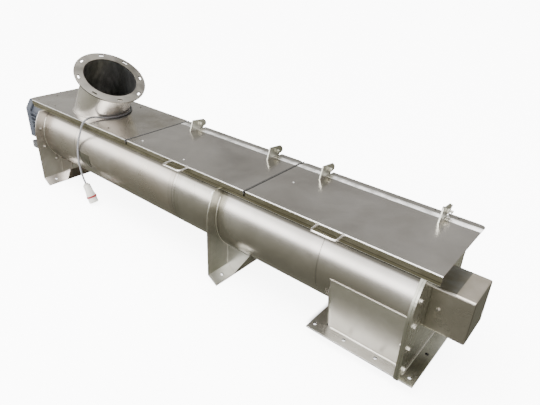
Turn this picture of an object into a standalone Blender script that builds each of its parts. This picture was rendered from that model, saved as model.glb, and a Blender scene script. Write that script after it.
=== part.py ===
"""Inclined screw conveyor, standing level on its two sloped feet.

X runs along the conveyor from the drive to the discharge, Y across it, Z up.
Y = 0 is the screw's axis plane, Z = 0 is the floor, and X = 0 is the middle of the length.
All sizes are in metres.
"""

import math

import bmesh
import bpy
from mathutils import Matrix, Vector

# What everything else follows from
LID_START = -1.3058           # left end of the row of lids, so that the whole length is centred on X = 0
LID_LENGTH = 2.784
LID_TOP = 0.540
LID_HALF_WIDTH = 0.203
TUBE_RADIUS = 0.223           # outside
TUBE_WALL = 0.003
AXIS_Z = LID_TOP - 0.210      # height of the screw's axis
INCLINE = math.radians(32)    # slope that the feet and the inlet flange are cut for
SHEET = 0.003
TOUCH = 0.0003                # gap left where two pieces meet
RUNNING_GAP = 0.001           # between a lid's lug and its fixed bracket
ROUND = 96                    # sides of the large circles

# Lids
COVER_START = -0.036          # all these places are from the left end of the row of lids
COVER_CORNER = 0.040
FIRST_SEAM = 1.015
SECOND_SEAM = 1.875
SEAM_GAP = 0.008
FRONT_LIP = 0.029
REAR_STRIP = 0.048
REAR_STRIP_DROP = 0.003
REAR_CORNER = 0.022
LIP_BEND = 0.004              # outside radius of the bend above the front lip

# Trough
FLANGE_THICK = 0.004
FLANGE_TOP = LID_TOP - SHEET - TOUCH
FLANGE_BOTTOM = FLANGE_TOP - FLANGE_THICK
FLANGE_HALF_WIDTH = 0.198     # to the front lip's outer face
REAR_FLANGE_WIDTH = 0.160     # the rear one is narrower, so that a lid's rear strip can swing down behind it
FLANGE_LIP = 0.046
SLOT_TOP = FLANGE_BOTTOM - TOUCH
SLOT_HALF = math.sqrt(TUBE_RADIUS ** 2 - (SLOT_TOP - AXIS_Z) ** 2)
LIP_BOTTOM = LID_TOP - FLANGE_LIP

# Supports
FOOT_STRIP = 0.070
FOOT_BEND_Z = FOOT_STRIP * math.sin(INCLINE)
PLATE = 0.006
SUPPORT_RADIUS = 0.280        # of the rounded shoulders, which is also half the width
INLET_SUPPORT_X = 0.122
MID_SUPPORT_X = 1.709
FOOT_HOLE_Y = 0.213
GUSSET_Y = 0.141
GUSSET_LENGTH = 0.148

# Discharge
CHUTE_START = 2.346
TUBE_END = 2.711
OUTLET_RADIUS = 0.255         # of the end plates' shoulders, which is also half their width
OUTLET_PLATE = 0.010
FRAME_BOTTOM = 0.040
CHUTE_FOLD = 0.030            # rounding of the chute's upright folds
CHUTE_LAP = 0.012             # how far the trough reaches down inside the chute's sides
FRAME_THICK = 0.006
FRAME_START = 2.290
FRAME_END = 2.789
CHUTE_HALF = 0.183            # inside, at the bottom
FRAME_HALF = 0.250

# Inlet
INLET_X = 0.480
SPIGOT_RADIUS = 0.155         # outside
SPIGOT_RISE = 0.270           # along its own axis, from the cover to the flange's face
INLET_FLANGE_RADIUS = 0.205
INLET_FLANGE_THICK = 0.008
COLLAR_RADIUS = 0.160
COLLAR_THICK = 0.004
SLOT_COUNT = 8
SLOT_CIRCLE = 0.184
FIRST_SLOT = 29               # degrees

# Hinges
HINGE_Y = 0.208
HINGE_Z = LID_TOP + 0.030
PIN_RADIUS = 0.006
LUG_THICK = 0.006
LUG_PLACES = (1.156, 1.727, 2.048, 2.628)
PIN_TAILS = (0.014, 0.014, 0.014, 0.022)     # how far each hinge bolt stands out beyond its lug

# Handles
HANDLE_PLACES = (1.443, 2.329)
HANDLE_WIDTH = 0.119
HANDLE_REACH = 0.054
HANDLE_WIRE = 0.005
HANDLE_Z = LID_TOP - 0.008

# Screw
SHAFT_RADIUS = 0.057
FLIGHT_RADIUS = 0.200
FLIGHT_THICK = 0.006
PITCH = 0.360
FLIGHT_STEPS = 28             # straight pieces in each turn
FLIGHT_START = 0.150
FLIGHT_END = 2.690

# Drive
DRIVE_PLATE = 0.008
MOTOR_HALF = 0.133
MOTOR_CHAMFER = (0.038, 0.058)
MOTOR_END = -0.280
COWL_LENGTH = 0.062
GEARBOX_START = -0.055
GEARBOX_END = 0.045
GEARBOX_RADIUS = 0.120
STOP_Y = 0.168
STOP_Z = AXIS_Z - 0.139
STOP_HALF_HEIGHT = 0.024
TERMINAL_START = MOTOR_HALF + TOUCH
TERMINAL_DEPTH = 0.062
TERMINAL_X = -0.140
TERMINAL_HALF = 0.055

# Cord and plug
CORD_RADIUS = 0.0055
GLAND_BASE = Vector((LID_START + TERMINAL_X, TERMINAL_START + TERMINAL_DEPTH / 2,
                     AXIS_Z + TERMINAL_HALF + TOUCH))
GLAND_LENGTH = 0.028
PLUG_TOP = Vector((LID_START + 0.567, -0.229, 0.134))
PLUG_END = Vector((LID_START + 0.616, -0.219, 0.0146))
PLUG_RADIUS = 0.0285
RING_LOW = 0.034              # the coloured ring, from the plug's end
RING_HIGH = 0.045
COVER_CORD_Z = LID_TOP + CORD_RADIUS + 0.001     # where the cord lies on the cover

# Guard over the shaft's far end
GUARD_LENGTH = 0.160
GUARD_HALF_WIDTH = 0.096
GUARD_BOTTOM = LID_TOP - 0.330
GUARD_TOP = LID_TOP - 0.128
GUARD_SHEET = 0.0025
GUARD_BEND = 0.008             # the outside radius of its folds

STAINLESS = (0.56, 0.53, 0.49, 1.0)
DARK_STAINLESS = (0.42, 0.40, 0.37, 1.0)
MOTOR_BLUE = (0.16, 0.21, 0.29, 1.0)
CAST_GREY = (0.12, 0.13, 0.15, 1.0)
CORD_GREY = (0.30, 0.30, 0.31, 1.0)
PLUG_WHITE = (0.74, 0.74, 0.70, 1.0)
PLUG_RED = (0.62, 0.03, 0.04, 1.0)

COLLECTION = "inclined_screw_conveyor"
CUTTERS = "cutters"

# Which way a plate's outline lies
SIDE_ON = Matrix(((0, 0, 1, 0), (1, 0, 0, 0), (0, 1, 0, 0), (0, 0, 0, 1)))      # in YZ
LENGTHWAYS = Matrix(((1, 0, 0, 0), (0, 0, 1, 0), (0, 1, 0, 0), (0, 0, 0, 1)))   # in XZ
FLAT = Matrix.Identity(4)                                                       # in XY


def along(distance):
    """World X of a place given from the left end of the lids."""
    return LID_START + distance


def clear_scene():
    for obj in list(bpy.data.objects):
        bpy.data.objects.remove(obj, do_unlink=True)


def collection(name):
    found = bpy.data.collections.get(name)
    if found is None:
        found = bpy.data.collections.new(name)
        bpy.context.scene.collection.children.link(found)
    return found


def material(name, colour, roughness, metallic):
    made = bpy.data.materials.new(name)
    made.use_nodes = True
    shader = made.node_tree.nodes["Principled BSDF"]
    shader.inputs["Base Color"].default_value = colour
    shader.inputs["Roughness"].default_value = roughness
    shader.inputs["Metallic"].default_value = metallic
    return made


def steel(name):
    return material(name, STAINLESS, 0.32, 1.0)


def place(obj, finish=None, cutter=False):
    """Puts an object in its collection, and gives it its finish or marks it as a cutter."""
    for home in list(obj.users_collection):
        home.objects.unlink(obj)
    collection(CUTTERS if cutter else COLLECTION).objects.link(obj)
    if cutter:
        obj.hide_render = True
        obj.display_type = "WIRE"
    if finish is not None:
        obj.data.materials.clear()
        obj.data.materials.append(finish)
    return obj


def from_bmesh(name, form, finish=None, cutter=False):
    bmesh.ops.recalc_face_normals(form, faces=form.faces)
    mesh = bpy.data.meshes.new(name)
    form.to_mesh(mesh)
    form.free()
    obj = bpy.data.objects.new(name, mesh)
    bpy.context.scene.collection.objects.link(obj)
    return place(obj, finish, cutter)


def box(name, low, high, finish=None, cutter=False):
    form = bmesh.new()
    bmesh.ops.create_cube(form, size=1.0)
    size = [high[i] - low[i] for i in range(3)]
    middle = [(high[i] + low[i]) / 2 for i in range(3)]
    bmesh.ops.scale(form, vec=size, verts=form.verts)
    bmesh.ops.translate(form, vec=middle, verts=form.verts)
    return from_bmesh(name, form, finish, cutter)


def rod(name, radius, start, end, sides=32, finish=None, cutter=False):
    """A plain cylinder from one point to another."""
    start, end = Vector(start), Vector(end)
    form = bmesh.new()
    bmesh.ops.create_cone(form, cap_ends=True, segments=sides, radius1=radius, radius2=radius,
                          depth=(end - start).length)
    turn = (end - start).to_track_quat("Z", "X").to_matrix().to_4x4()
    bmesh.ops.transform(form, matrix=Matrix.Translation((start + end) / 2) @ turn, verts=form.verts)
    return from_bmesh(name, form, finish, cutter)


def as_mesh(obj):
    """Turns a curve object into a closed mesh in world space."""
    bpy.context.view_layer.update()
    evaluated = obj.evaluated_get(bpy.context.evaluated_depsgraph_get())
    mesh = bpy.data.meshes.new_from_object(evaluated)
    mesh.transform(obj.matrix_world)
    form = bmesh.new()
    form.from_mesh(mesh)
    bmesh.ops.remove_doubles(form, verts=form.verts, dist=0.00001)
    form.to_mesh(mesh)
    form.free()
    name = obj.name
    curve = obj.data
    bpy.data.objects.remove(obj, do_unlink=True)
    bpy.data.curves.remove(curve)
    made = bpy.data.objects.new(name, mesh)
    bpy.context.scene.collection.objects.link(made)
    return made


def plate(name, outline, thickness, frame, middle, holes=(), finish=None, cutter=False):
    """A flat plate from its outline, as a filled 2D curve with an extrude."""
    curve = bpy.data.curves.new(name, "CURVE")
    curve.dimensions = "2D"
    curve.fill_mode = "BOTH"
    curve.extrude = thickness / 2
    for loop in (outline, *holes):
        spline = curve.splines.new("POLY")
        spline.points.add(len(loop) - 1)
        for point, (first, second) in zip(spline.points, loop):
            point.co = (first, second, 0, 1)
        spline.use_cyclic_u = True
    obj = bpy.data.objects.new(name, curve)
    bpy.context.scene.collection.objects.link(obj)
    obj.matrix_world = Matrix.Translation(middle) @ frame
    made = as_mesh(obj)
    form = bmesh.new()
    form.from_mesh(made.data)
    bmesh.ops.recalc_face_normals(form, faces=form.faces)
    form.to_mesh(made.data)
    form.free()
    return place(made, finish, cutter)


def arc(centre, radius, start, end, steps):
    """Points on an arc, with its angles in degrees."""
    points = []
    for i in range(steps + 1):
        angle = math.radians(start + (end - start) * i / steps)
        points.append((centre[0] + radius * math.cos(angle), centre[1] + radius * math.sin(angle)))
    return points


def circle(centre, radius, steps):
    return arc(centre, radius, 0, 360 - 360 / steps, steps - 1)


def cut(obj, cutter, operation="DIFFERENCE"):
    change = obj.modifiers.new(operation.title(), "BOOLEAN")
    change.operation = operation
    change.solver = "EXACT"
    change.object = cutter
    return obj


def join(obj, *others):
    """Unites pieces that are welded into one, and keeps the result as plain mesh."""
    for other in others:
        place(other, cutter=True)
        cut(obj, other, "UNION")
    return obj


def round_shading(obj, angle=35):
    obj.data.shade_smooth()
    obj.data.set_sharp_from_angle(angle=math.radians(angle))
    return obj


def tube_cutter(name, radius, start, end, sides=ROUND):
    return rod(name, radius, (along(start), 0, AXIS_Z), (along(end), 0, AXIS_Z), sides, cutter=True)


def trough_tube():
    """The rolled trough: a tube, open on top along its length and below over the chute."""
    start = INLET_SUPPORT_X
    end = TUBE_END
    tube = rod("trough_tube", TUBE_RADIUS, (along(start), 0, AXIS_Z), (along(end), 0, AXIS_Z), ROUND,
               steel("trough_steel"))
    cut(tube, tube_cutter("cut_trough_bore", TUBE_RADIUS - TUBE_WALL, start - 0.1, end + 0.1))
    cut(tube, box("cut_trough_slot", (along(start - 0.1), -0.3, SLOT_TOP),
                  (along(end + 0.1), 0.3, SLOT_TOP + 0.2), cutter=True))
    cut(tube, box("cut_trough_outlet", (along(CHUTE_START + CHUTE_FOLD), -0.3, 0),
                  (along(end + 0.1), 0.3, AXIS_Z - CHUTE_LAP), cutter=True))
    cut(tube, box("cut_trough_outlet_start", (along(CHUTE_START + SHEET), CHUTE_FOLD - CHUTE_HALF, 0),
                  (along(CHUTE_START + CHUTE_FOLD + 0.01), CHUTE_HALF - CHUTE_FOLD, AXIS_Z), cutter=True))
    return round_shading(tube)


def trough_flange(name, side, outer, end):
    """The strip along one edge of the slot, with its lip bent down at the outside."""
    first = SLOT_HALF - 0.006
    start = COVER_START + COVER_CORNER
    outline = [(first, FLANGE_BOTTOM), (first, FLANGE_TOP), (outer, FLANGE_TOP), (outer, LIP_BOTTOM),
               (outer - FLANGE_THICK, LIP_BOTTOM), (outer - FLANGE_THICK, FLANGE_BOTTOM)]
    outline = [(side * y, z) for y, z in outline]
    return plate(name, outline, end - start, SIDE_ON, (along((start + end) / 2), 0, 0),
                 finish=steel(name + "_steel"))


def shouldered_outline(radius, bottom):
    """A plate's outline across the conveyor: round shoulders, straight sides, notched for the flange lips."""
    front = FLANGE_THICK + TOUCH - FLANGE_HALF_WIDTH
    rear = REAR_FLANGE_WIDTH - FLANGE_THICK - TOUCH
    shoulder_z = LIP_BOTTOM - TOUCH
    angle = math.degrees(math.asin((shoulder_z - AXIS_Z) / radius))
    right = arc((0, AXIS_Z), radius, 0, angle, 12)
    left = [(-y, z) for y, z in reversed(right)]
    top = [(rear, shoulder_z), (rear, SLOT_TOP), (front, SLOT_TOP), (front, shoulder_z)]
    return [(-radius, bottom), (radius, bottom)] + right + top + left


def sloped_foot(name, bend_x, half_width):
    """The foot strip, bent forward and down by the incline."""
    down = Vector((math.cos(INCLINE), 0, -math.sin(INCLINE)))
    across = Vector((math.sin(INCLINE), 0, math.cos(INCLINE)))
    corner = Vector((bend_x, 0, FOOT_BEND_Z))
    tip = corner + down * FOOT_STRIP
    points = [corner, tip, tip + across * PLATE, corner + across * PLATE]
    outline = [(point.x, point.z) for point in points]
    return plate(name, outline, 2 * half_width, LENGTHWAYS, (0, 0, 0), finish=None)


def foot_slots(foot, bend_x):
    """Bolt slots through the foot strip, near its ends."""
    down = Vector((math.cos(INCLINE), 0, -math.sin(INCLINE)))
    across = Vector((math.sin(INCLINE), 0, math.cos(INCLINE)))
    for number, side in enumerate((-1, 1), 1):
        centre = Vector((bend_x, side * FOOT_HOLE_Y, FOOT_BEND_Z)) + down * 0.036
        cutter = rod(f"cut_{foot.name}_slot_{number}", 0.008, centre - across * 0.02, centre + across * 0.03,
                     16, cutter=True)
        cut(foot, cutter)


def support(name, start, bore_radius):
    """A support plate across the trough, with its sloped foot."""
    outline = shouldered_outline(SUPPORT_RADIUS, FOOT_BEND_Z)
    body = plate(name, outline, PLATE, SIDE_ON, (along(start + PLATE / 2), 0, 0), finish=steel(name + "_steel"))
    foot = sloped_foot(name + "_foot", along(start), SUPPORT_RADIUS)
    join(body, foot)
    bore = tube_cutter(f"cut_{name}_bore", bore_radius, start - 0.05, start + 0.05)
    cut(body, bore)
    foot_slots(body, along(start))
    return body


def gusset(name, start, side):
    """A trapezoid brace between the support plate, its foot and the underside of the trough."""
    face = along(start + PLATE) + TOUCH
    far = along(start) + FOOT_STRIP * math.cos(INCLINE) + PLATE * math.sin(INCLINE)
    outer_y = GUSSET_Y + PLATE / 2
    top = AXIS_Z - math.sqrt((TUBE_RADIUS + TOUCH) ** 2 - (outer_y - PLATE) ** 2) - 0.0005

    def foot_top(x):
        rise = PLATE / math.cos(INCLINE) + TOUCH * 2
        return FOOT_BEND_Z - (x - along(start)) * math.tan(INCLINE) + rise

    outline = [(face, foot_top(face)), (far - 0.004, foot_top(far - 0.004)),
               (face + GUSSET_LENGTH, top), (face, top)]
    return plate(name, outline, PLATE, LENGTHWAYS, (0, side * GUSSET_Y, 0), finish=steel(name + "_steel"))


def discharge_chute():
    """The folded sheet below the trough: two sides that lean inwards and the wall between them."""
    low, high = FRAME_BOTTOM + FRAME_THICK + TOUCH, AXIS_Z - 0.004
    half_low = CHUTE_HALF + SHEET
    half_high = TUBE_RADIUS + TOUCH + SHEET
    form = bmesh.new()
    bmesh.ops.create_cube(form, size=1.0)
    open_faces = [face for face in form.faces if abs(face.normal.z) > 0.5 or face.normal.x > 0.5]
    bmesh.ops.delete(form, geom=open_faces, context="FACES")
    for vert in form.verts:
        half = half_high if vert.co.z > 0 else half_low
        vert.co.x = along(CHUTE_START) if vert.co.x < 0 else along(TUBE_END) - TOUCH
        vert.co.y = math.copysign(half, vert.co.y)
        vert.co.z = high if vert.co.z > 0 else low
    folds = [edge for edge in form.edges
             if len(edge.link_faces) == 2 and abs(edge.verts[0].co.z - edge.verts[1].co.z) > 0.1]
    bmesh.ops.bevel(form, geom=folds, offset=CHUTE_FOLD, segments=4, profile=0.5, affect="EDGES")
    chute = from_bmesh("discharge_chute", form, steel("chute_steel"))
    shell = chute.modifiers.new("Sheet", "SOLIDIFY")
    shell.thickness = SHEET
    shell.offset = -1
    cut(chute, tube_cutter("cut_chute_saddle", TUBE_RADIUS + TOUCH, CHUTE_START - 0.1, TUBE_END + 0.1))
    return round_shading(chute)


def discharge_frame():
    """The flat flange under the chute, closed on the fourth side by the end plate's foot."""
    start, end = along(FRAME_START), along(TUBE_END) - TOUCH
    inner = along(CHUTE_START + SHEET)
    outline = [(start, -FRAME_HALF), (end, -FRAME_HALF), (end, -CHUTE_HALF), (inner, -CHUTE_HALF),
               (inner, CHUTE_HALF), (end, CHUTE_HALF), (end, FRAME_HALF), (start, FRAME_HALF)]
    places = [(along(x), side * 0.213) for x in (2.313, 2.461, 2.611) for side in (-1, 1)]
    places += [(along(2.313), y) for y in (-0.050, 0.113)]
    holes = [circle(middle, 0.008, 12) for middle in places]
    return plate("discharge_frame", outline, FRAME_THICK, FLAT, (0, 0, FRAME_BOTTOM + FRAME_THICK / 2),
                 holes, steel("frame_steel"))


def trough_end_flange():
    """The flange welded round the end of the trough and down the end of the chute."""
    outline = shouldered_outline(OUTLET_RADIUS, FRAME_BOTTOM)
    body = plate("trough_end_flange", outline, OUTLET_PLATE, SIDE_ON,
                 (along(TUBE_END + OUTLET_PLATE / 2), 0, 0), finish=steel("end_flange_steel"))
    cut(body, tube_cutter("cut_end_flange_bore", TUBE_RADIUS - TUBE_WALL, TUBE_END - 0.05, TUBE_END + 0.05))
    throat = [(-CHUTE_HALF, FRAME_BOTTOM + 0.03), (CHUTE_HALF, FRAME_BOTTOM + 0.03),
              (TUBE_RADIUS - TUBE_WALL, AXIS_Z), (-TUBE_RADIUS + TUBE_WALL, AXIS_Z)]
    cut(body, plate("cut_end_flange_throat", throat, 0.1, SIDE_ON, (along(TUBE_END), 0, 0), cutter=True))
    return body


def outlet_end_plate():
    """The bolted end plate, with its foot bent outwards in line with the discharge flange."""
    start = TUBE_END + OUTLET_PLATE + TOUCH
    outline = shouldered_outline(OUTLET_RADIUS, FRAME_BOTTOM)
    body = plate("outlet_end_plate", outline, OUTLET_PLATE, SIDE_ON, (along(start + OUTLET_PLATE / 2), 0, 0),
                 finish=steel("end_plate_steel"))
    foot = box("outlet_end_plate_foot", (along(start), -FRAME_HALF, FRAME_BOTTOM),
               (along(FRAME_END), FRAME_HALF, FRAME_BOTTOM + FRAME_THICK))
    join(body, foot)
    cut(body, tube_cutter("cut_end_plate_bore", SHAFT_RADIUS + 0.002, start - 0.05, start + 0.05, 48))
    for number, y in enumerate((-0.213, -0.050, 0.113), 1):
        cut(body, rod(f"cut_end_plate_hole_{number}", 0.008, (along(2.761), y, FRAME_BOTTOM - 0.02),
                      (along(2.761), y, FRAME_BOTTOM + 0.03), 12, cutter=True))
    return body


def guard_start():
    return TUBE_END + 2 * OUTLET_PLATE + 2 * TOUCH


def round_far_edges(obj, radius):
    """Rounds all edges of a box, but for those round the face at its start."""
    form = bmesh.new()
    form.from_mesh(obj.data)
    start = min(vert.co.x for vert in form.verts)
    edges = [edge for edge in form.edges if any(vert.co.x > start + radius for vert in edge.verts)]
    bmesh.ops.bevel(form, geom=edges, offset=radius, segments=3, profile=0.5, affect="EDGES")
    form.to_mesh(obj.data)
    form.free()


def shaft_guard():
    """The sheet box over the shaft's end, open towards the end plate."""
    start = guard_start()
    guard = box("shaft_guard", (along(start), -GUARD_HALF_WIDTH, GUARD_BOTTOM),
                (along(start + GUARD_LENGTH), GUARD_HALF_WIDTH, GUARD_TOP), steel("guard_steel"))
    inner_half = GUARD_HALF_WIDTH - GUARD_SHEET
    inside = box("cut_guard_inside", (along(start - 0.05), -inner_half, GUARD_BOTTOM + GUARD_SHEET),
                 (along(start + GUARD_LENGTH - GUARD_SHEET), inner_half, GUARD_TOP - GUARD_SHEET), cutter=True)
    round_far_edges(guard, GUARD_BEND)
    round_far_edges(inside, GUARD_BEND - GUARD_SHEET)
    return round_shading(cut(guard, inside))


def end_bearing():
    """The flanged bearing on the end plate, inside the guard."""
    start = along(guard_start())
    body = rod("end_bearing", 0.076, (start, 0, AXIS_Z), (start + 0.018, 0, AXIS_Z), 32,
               material("bearing_grey", CAST_GREY, 0.5, 0.6))
    boss = rod("end_bearing_boss", 0.058, (start + 0.01, 0, AXIS_Z), (start + 0.055, 0, AXIS_Z), 32)
    join(body, boss)
    return cut(body, tube_cutter("cut_bearing_bore", SHAFT_RADIUS / 2 + TOUCH, 2.6, 3.0, 32))


def screw_shaft():
    """The hollow shaft of the screw, with its thinner ends through both end plates."""
    body = tube_cutter("screw_shaft", SHAFT_RADIUS, FLIGHT_START - 0.012, FLIGHT_END + 0.012, 32)
    place(body, steel("shaft_steel"))
    body.hide_render = False
    body.display_type = "TEXTURED"
    stub = tube_cutter("screw_shaft_stub", SHAFT_RADIUS / 2, GEARBOX_END + 0.004, guard_start() + 0.070, 32)
    return round_shading(join(body, stub))


def screw_flight():
    """The flight: a ribbon swept round the shaft, thickened along the conveyor."""
    turns = (FLIGHT_END - FLIGHT_START) / PITCH
    steps = int(turns * FLIGHT_STEPS)
    form = bmesh.new()
    inner_radius = (SHAFT_RADIUS + TOUCH) / math.cos(math.pi / FLIGHT_STEPS)
    rows = []
    for i in range(steps + 1):
        angle = 2 * math.pi * turns * i / steps
        x = along(FLIGHT_START + (FLIGHT_END - FLIGHT_START - FLIGHT_THICK) * i / steps)
        ring = []
        for radius, shift in ((inner_radius, 0), (FLIGHT_RADIUS, 0), (FLIGHT_RADIUS, FLIGHT_THICK),
                              (inner_radius, FLIGHT_THICK)):
            ring.append(form.verts.new((x + shift, radius * math.sin(angle), AXIS_Z + radius * math.cos(angle))))
        rows.append(ring)
    for ring, following in zip(rows, rows[1:]):
        for i in range(4):
            j = (i + 1) % 4
            form.faces.new((ring[i], ring[j], following[j], following[i]))
    form.faces.new(rows[0])
    form.faces.new(list(reversed(rows[-1])))
    return round_shading(from_bmesh("screw_flight", form, steel("flight_steel")), 40)


def lid_sheet(name, start, end):
    """A lid: front lip, flat top and the strip past the rear bend, as one folded sheet."""
    columns = [(-LID_HALF_WIDTH, LID_TOP - FRONT_LIP), (-LID_HALF_WIDTH, LID_TOP), (LID_HALF_WIDTH, LID_TOP),
               (LID_HALF_WIDTH + REAR_STRIP, LID_TOP - REAR_STRIP_DROP)]
    form = bmesh.new()
    bmesh.ops.create_grid(form, x_segments=1, y_segments=3, size=1.0)
    for vert in form.verts:
        column = round((vert.co.y + 1) * 1.5)
        vert.co = Vector((along(start) if vert.co.x < 0 else along(end), *columns[column]))
    bend = [edge for edge in form.edges
            if all(vert.co.y < 0 and vert.co.z > LID_TOP - FRONT_LIP / 2 for vert in edge.verts)]
    bmesh.ops.bevel(form, geom=bend, offset=LIP_BEND, segments=3, profile=0.5, affect="EDGES")
    corners = [vert for vert in form.verts if vert.co.y > LID_HALF_WIDTH + REAR_STRIP / 2]
    bmesh.ops.bevel(form, geom=corners, offset=REAR_CORNER, segments=4, profile=0.5, affect="VERTICES")
    lid = from_bmesh(name, form, steel(name + "_steel"))
    if lid.data.polygons[0].normal.z < 0:
        lid.data.flip_normals()
    shell = lid.modifiers.new("Sheet", "SOLIDIFY")
    shell.thickness = SHEET
    shell.offset = -1
    shell.use_even_offset = True
    return lid


def spigot_frame():
    """The inlet's own axes: its Z leans forward by the incline, from the middle of the cover's hole."""
    return Matrix.Translation((along(INLET_X), 0, LID_TOP)) @ Matrix.Rotation(INCLINE, 4, "Y")


def leaning_rod(name, radius, low, high, sides=64, finish=None, cutter=False):
    frame = spigot_frame()
    return rod(name, radius, frame @ Vector((0, 0, low)), frame @ Vector((0, 0, high)), sides, finish, cutter)


def inlet_cover():
    cover = lid_sheet("inlet_cover", COVER_START, FIRST_SEAM - SEAM_GAP / 2)
    past_bend = LIP_BEND + 0.0005 - LID_HALF_WIDTH
    corner = arc((along(COVER_START + COVER_CORNER), past_bend + COVER_CORNER), COVER_CORNER, 270, 180, 8)
    corner += [(along(COVER_START) - 0.02, past_bend + COVER_CORNER), (along(COVER_START) - 0.02, -0.25),
               (along(COVER_START + COVER_CORNER), -0.25)]
    cut(cover, plate("cut_cover_corner", corner, 0.2, FLAT, (0, 0, LID_TOP), cutter=True))
    return cut(cover, leaning_rod("cut_cover_throat", SPIGOT_RADIUS - SHEET, -0.3, 0.3, cutter=True))


def inlet_spigot():
    """The leaning spigot, cut off level where it stands on the cover."""
    body = leaning_rod("inlet_spigot", SPIGOT_RADIUS, -0.2, SPIGOT_RISE - INLET_FLANGE_THICK - TOUCH,
                       finish=steel("spigot_steel"))
    cut(body, leaning_rod("cut_spigot_bore", SPIGOT_RADIUS - SHEET, -0.4, 0.5, cutter=True))
    cut(body, box("cut_spigot_base", (along(-0.3), -0.4, LID_TOP - 0.5), (along(1.2), 0.4, LID_TOP + TOUCH),
                  cutter=True))
    return round_shading(body)


def inlet_collar():
    """The ring welded round the foot of the spigot."""
    base = LID_TOP + TOUCH
    stretch = 1 / math.cos(INCLINE)
    lean = COLLAR_THICK * math.tan(INCLINE)
    hole = SPIGOT_RADIUS + TOUCH * 2
    outer = [(along(INLET_X) + lean / 2 + x * stretch, y) for x, y in circle((0, 0), COLLAR_RADIUS, 64)]
    collar = plate("inlet_collar", outer, COLLAR_THICK, FLAT, (0, 0, base + COLLAR_THICK / 2),
                   finish=steel("collar_steel"))
    return cut(collar, leaning_rod("cut_collar_hole", hole, -0.2, 0.2, cutter=True))


def slot_outline(radius, middle, span, width):
    """A curved slot on a bolt circle."""
    outer = arc((0, 0), radius + width / 2, middle - span / 2, middle + span / 2, 4)
    inner = arc((0, 0), radius - width / 2, middle + span / 2, middle - span / 2, 4)
    return outer + inner


def inlet_flange():
    """The loose-bolted ring on the spigot, with its curved slots."""
    holes = [circle((0, 0), SPIGOT_RADIUS - SHEET, 64)]
    for i in range(SLOT_COUNT):
        holes.append(slot_outline(SLOT_CIRCLE, FIRST_SLOT + 45 * i, 9, 0.012))
    flange = plate("inlet_flange", circle((0, 0), INLET_FLANGE_RADIUS, 64), INLET_FLANGE_THICK, FLAT, (0, 0, 0),
                   holes, steel("inlet_flange_steel"))
    flange.data.transform(spigot_frame() @ Matrix.Translation((0, 0, SPIGOT_RISE - INLET_FLANGE_THICK / 2)))
    return flange


def lug(name, place_x):
    """The fin on a lid that carries its hinge bolt."""
    rises = [(0.130, TOUCH), (0.202, TOUCH), (0.224, 0.0055), (0.252, 0.013), (0.255, 0.024),
             (0.250, 0.038), (0.236, 0.050), (0.152, 0.060)]
    outline = [(y, LID_TOP + rise) for y, rise in rises]
    hole = circle((HINGE_Y, HINGE_Z), PIN_RADIUS + 0.0004, 16)
    return plate(name, outline, LUG_THICK, SIDE_ON, (along(place_x), 0, 0), [hole], steel(name + "_steel"))


def bracket_middle(place_x):
    return along(place_x) - LUG_THICK - RUNNING_GAP


def bracket(name, place_x, pin_tail):
    """The fixed arm beside a lug: from the trough's rear lip under the lid's strip and up to the hinge bolt."""
    root = REAR_FLANGE_WIDTH + TOUCH
    middle = bracket_middle(place_x)
    outline = [(root, LIP_BOTTOM + 0.002), (0.190, LIP_BOTTOM + 0.006), (0.222, LID_TOP - 0.022),
               (0.236, LID_TOP)]
    outline += arc((HINGE_Y, HINGE_Z), 0.014, -30, 200, 10)
    outline += [(0.200, LID_TOP + 0.013), (0.213, LID_TOP + 0.005), (0.213, LID_TOP - 0.008),
                (0.195, LID_TOP - 0.020), (root, LID_TOP - 0.020)]
    body = plate(name, outline, LUG_THICK, SIDE_ON, (middle, 0, 0), finish=steel(name + "_steel"))
    near = along(place_x) + LUG_THICK / 2 + RUNNING_GAP
    far = middle - 0.012
    bolt = rod(name + "_bolt", PIN_RADIUS, (far, HINGE_Y, HINGE_Z), (near + pin_tail, HINGE_Y, HINGE_Z), 16)
    head = rod(name + "_head", 0.0105, (far, HINGE_Y, HINGE_Z), (middle, HINGE_Y, HINGE_Z), 6)
    nut = rod(name + "_nut", 0.0105, (near, HINGE_Y, HINGE_Z), (near + 0.009, HINGE_Y, HINGE_Z), 6)
    return join(body, bolt, head, nut)


def notch_for_bracket(lid, number, place_x):
    """The opening in a lid's rear strip that a fixed bracket stands in."""
    middle = bracket_middle(place_x)
    half = LUG_THICK / 2 + 0.005
    cutter = box(f"cut_{lid.name}_notch_{number}", (middle - half, 0.206, LID_TOP - 0.05),
                 (middle + half, 0.30, LID_TOP + 0.05), cutter=True)
    cut(lid, cutter)


def hinged_lid(name, start, end, places):
    lid = lid_sheet(name, start, end)
    for number, place_x in enumerate(places, 1):
        notch_for_bracket(lid, number, place_x)
    return lid


def handle(name, place_x):
    """A bent wire handle on a lid's front lip."""
    lip = -LID_HALF_WIDTH - TOUCH
    half = HANDLE_WIDTH / 2
    bend = 0.014
    side = []
    for i in range(5):
        angle = math.radians(90 * i / 4)
        side.append((half - bend + bend * math.sin(angle), lip - HANDLE_REACH + bend - bend * math.cos(angle)))
    right = side + [(half, lip)]
    left = [(-x, y) for x, y in reversed(right)]
    curve = bpy.data.curves.new(name, "CURVE")
    curve.dimensions = "3D"
    curve.bevel_depth = HANDLE_WIRE
    curve.bevel_resolution = 2
    curve.use_fill_caps = True
    spline = curve.splines.new("POLY")
    route = left + right
    spline.points.add(len(route) - 1)
    for point, (x, y) in zip(spline.points, route):
        point.co = (along(place_x) + x, y, HANDLE_Z, 1)
    obj = bpy.data.objects.new(name, curve)
    bpy.context.scene.collection.objects.link(obj)
    return place(round_shading(as_mesh(obj)), steel(name + "_steel"))


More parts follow.
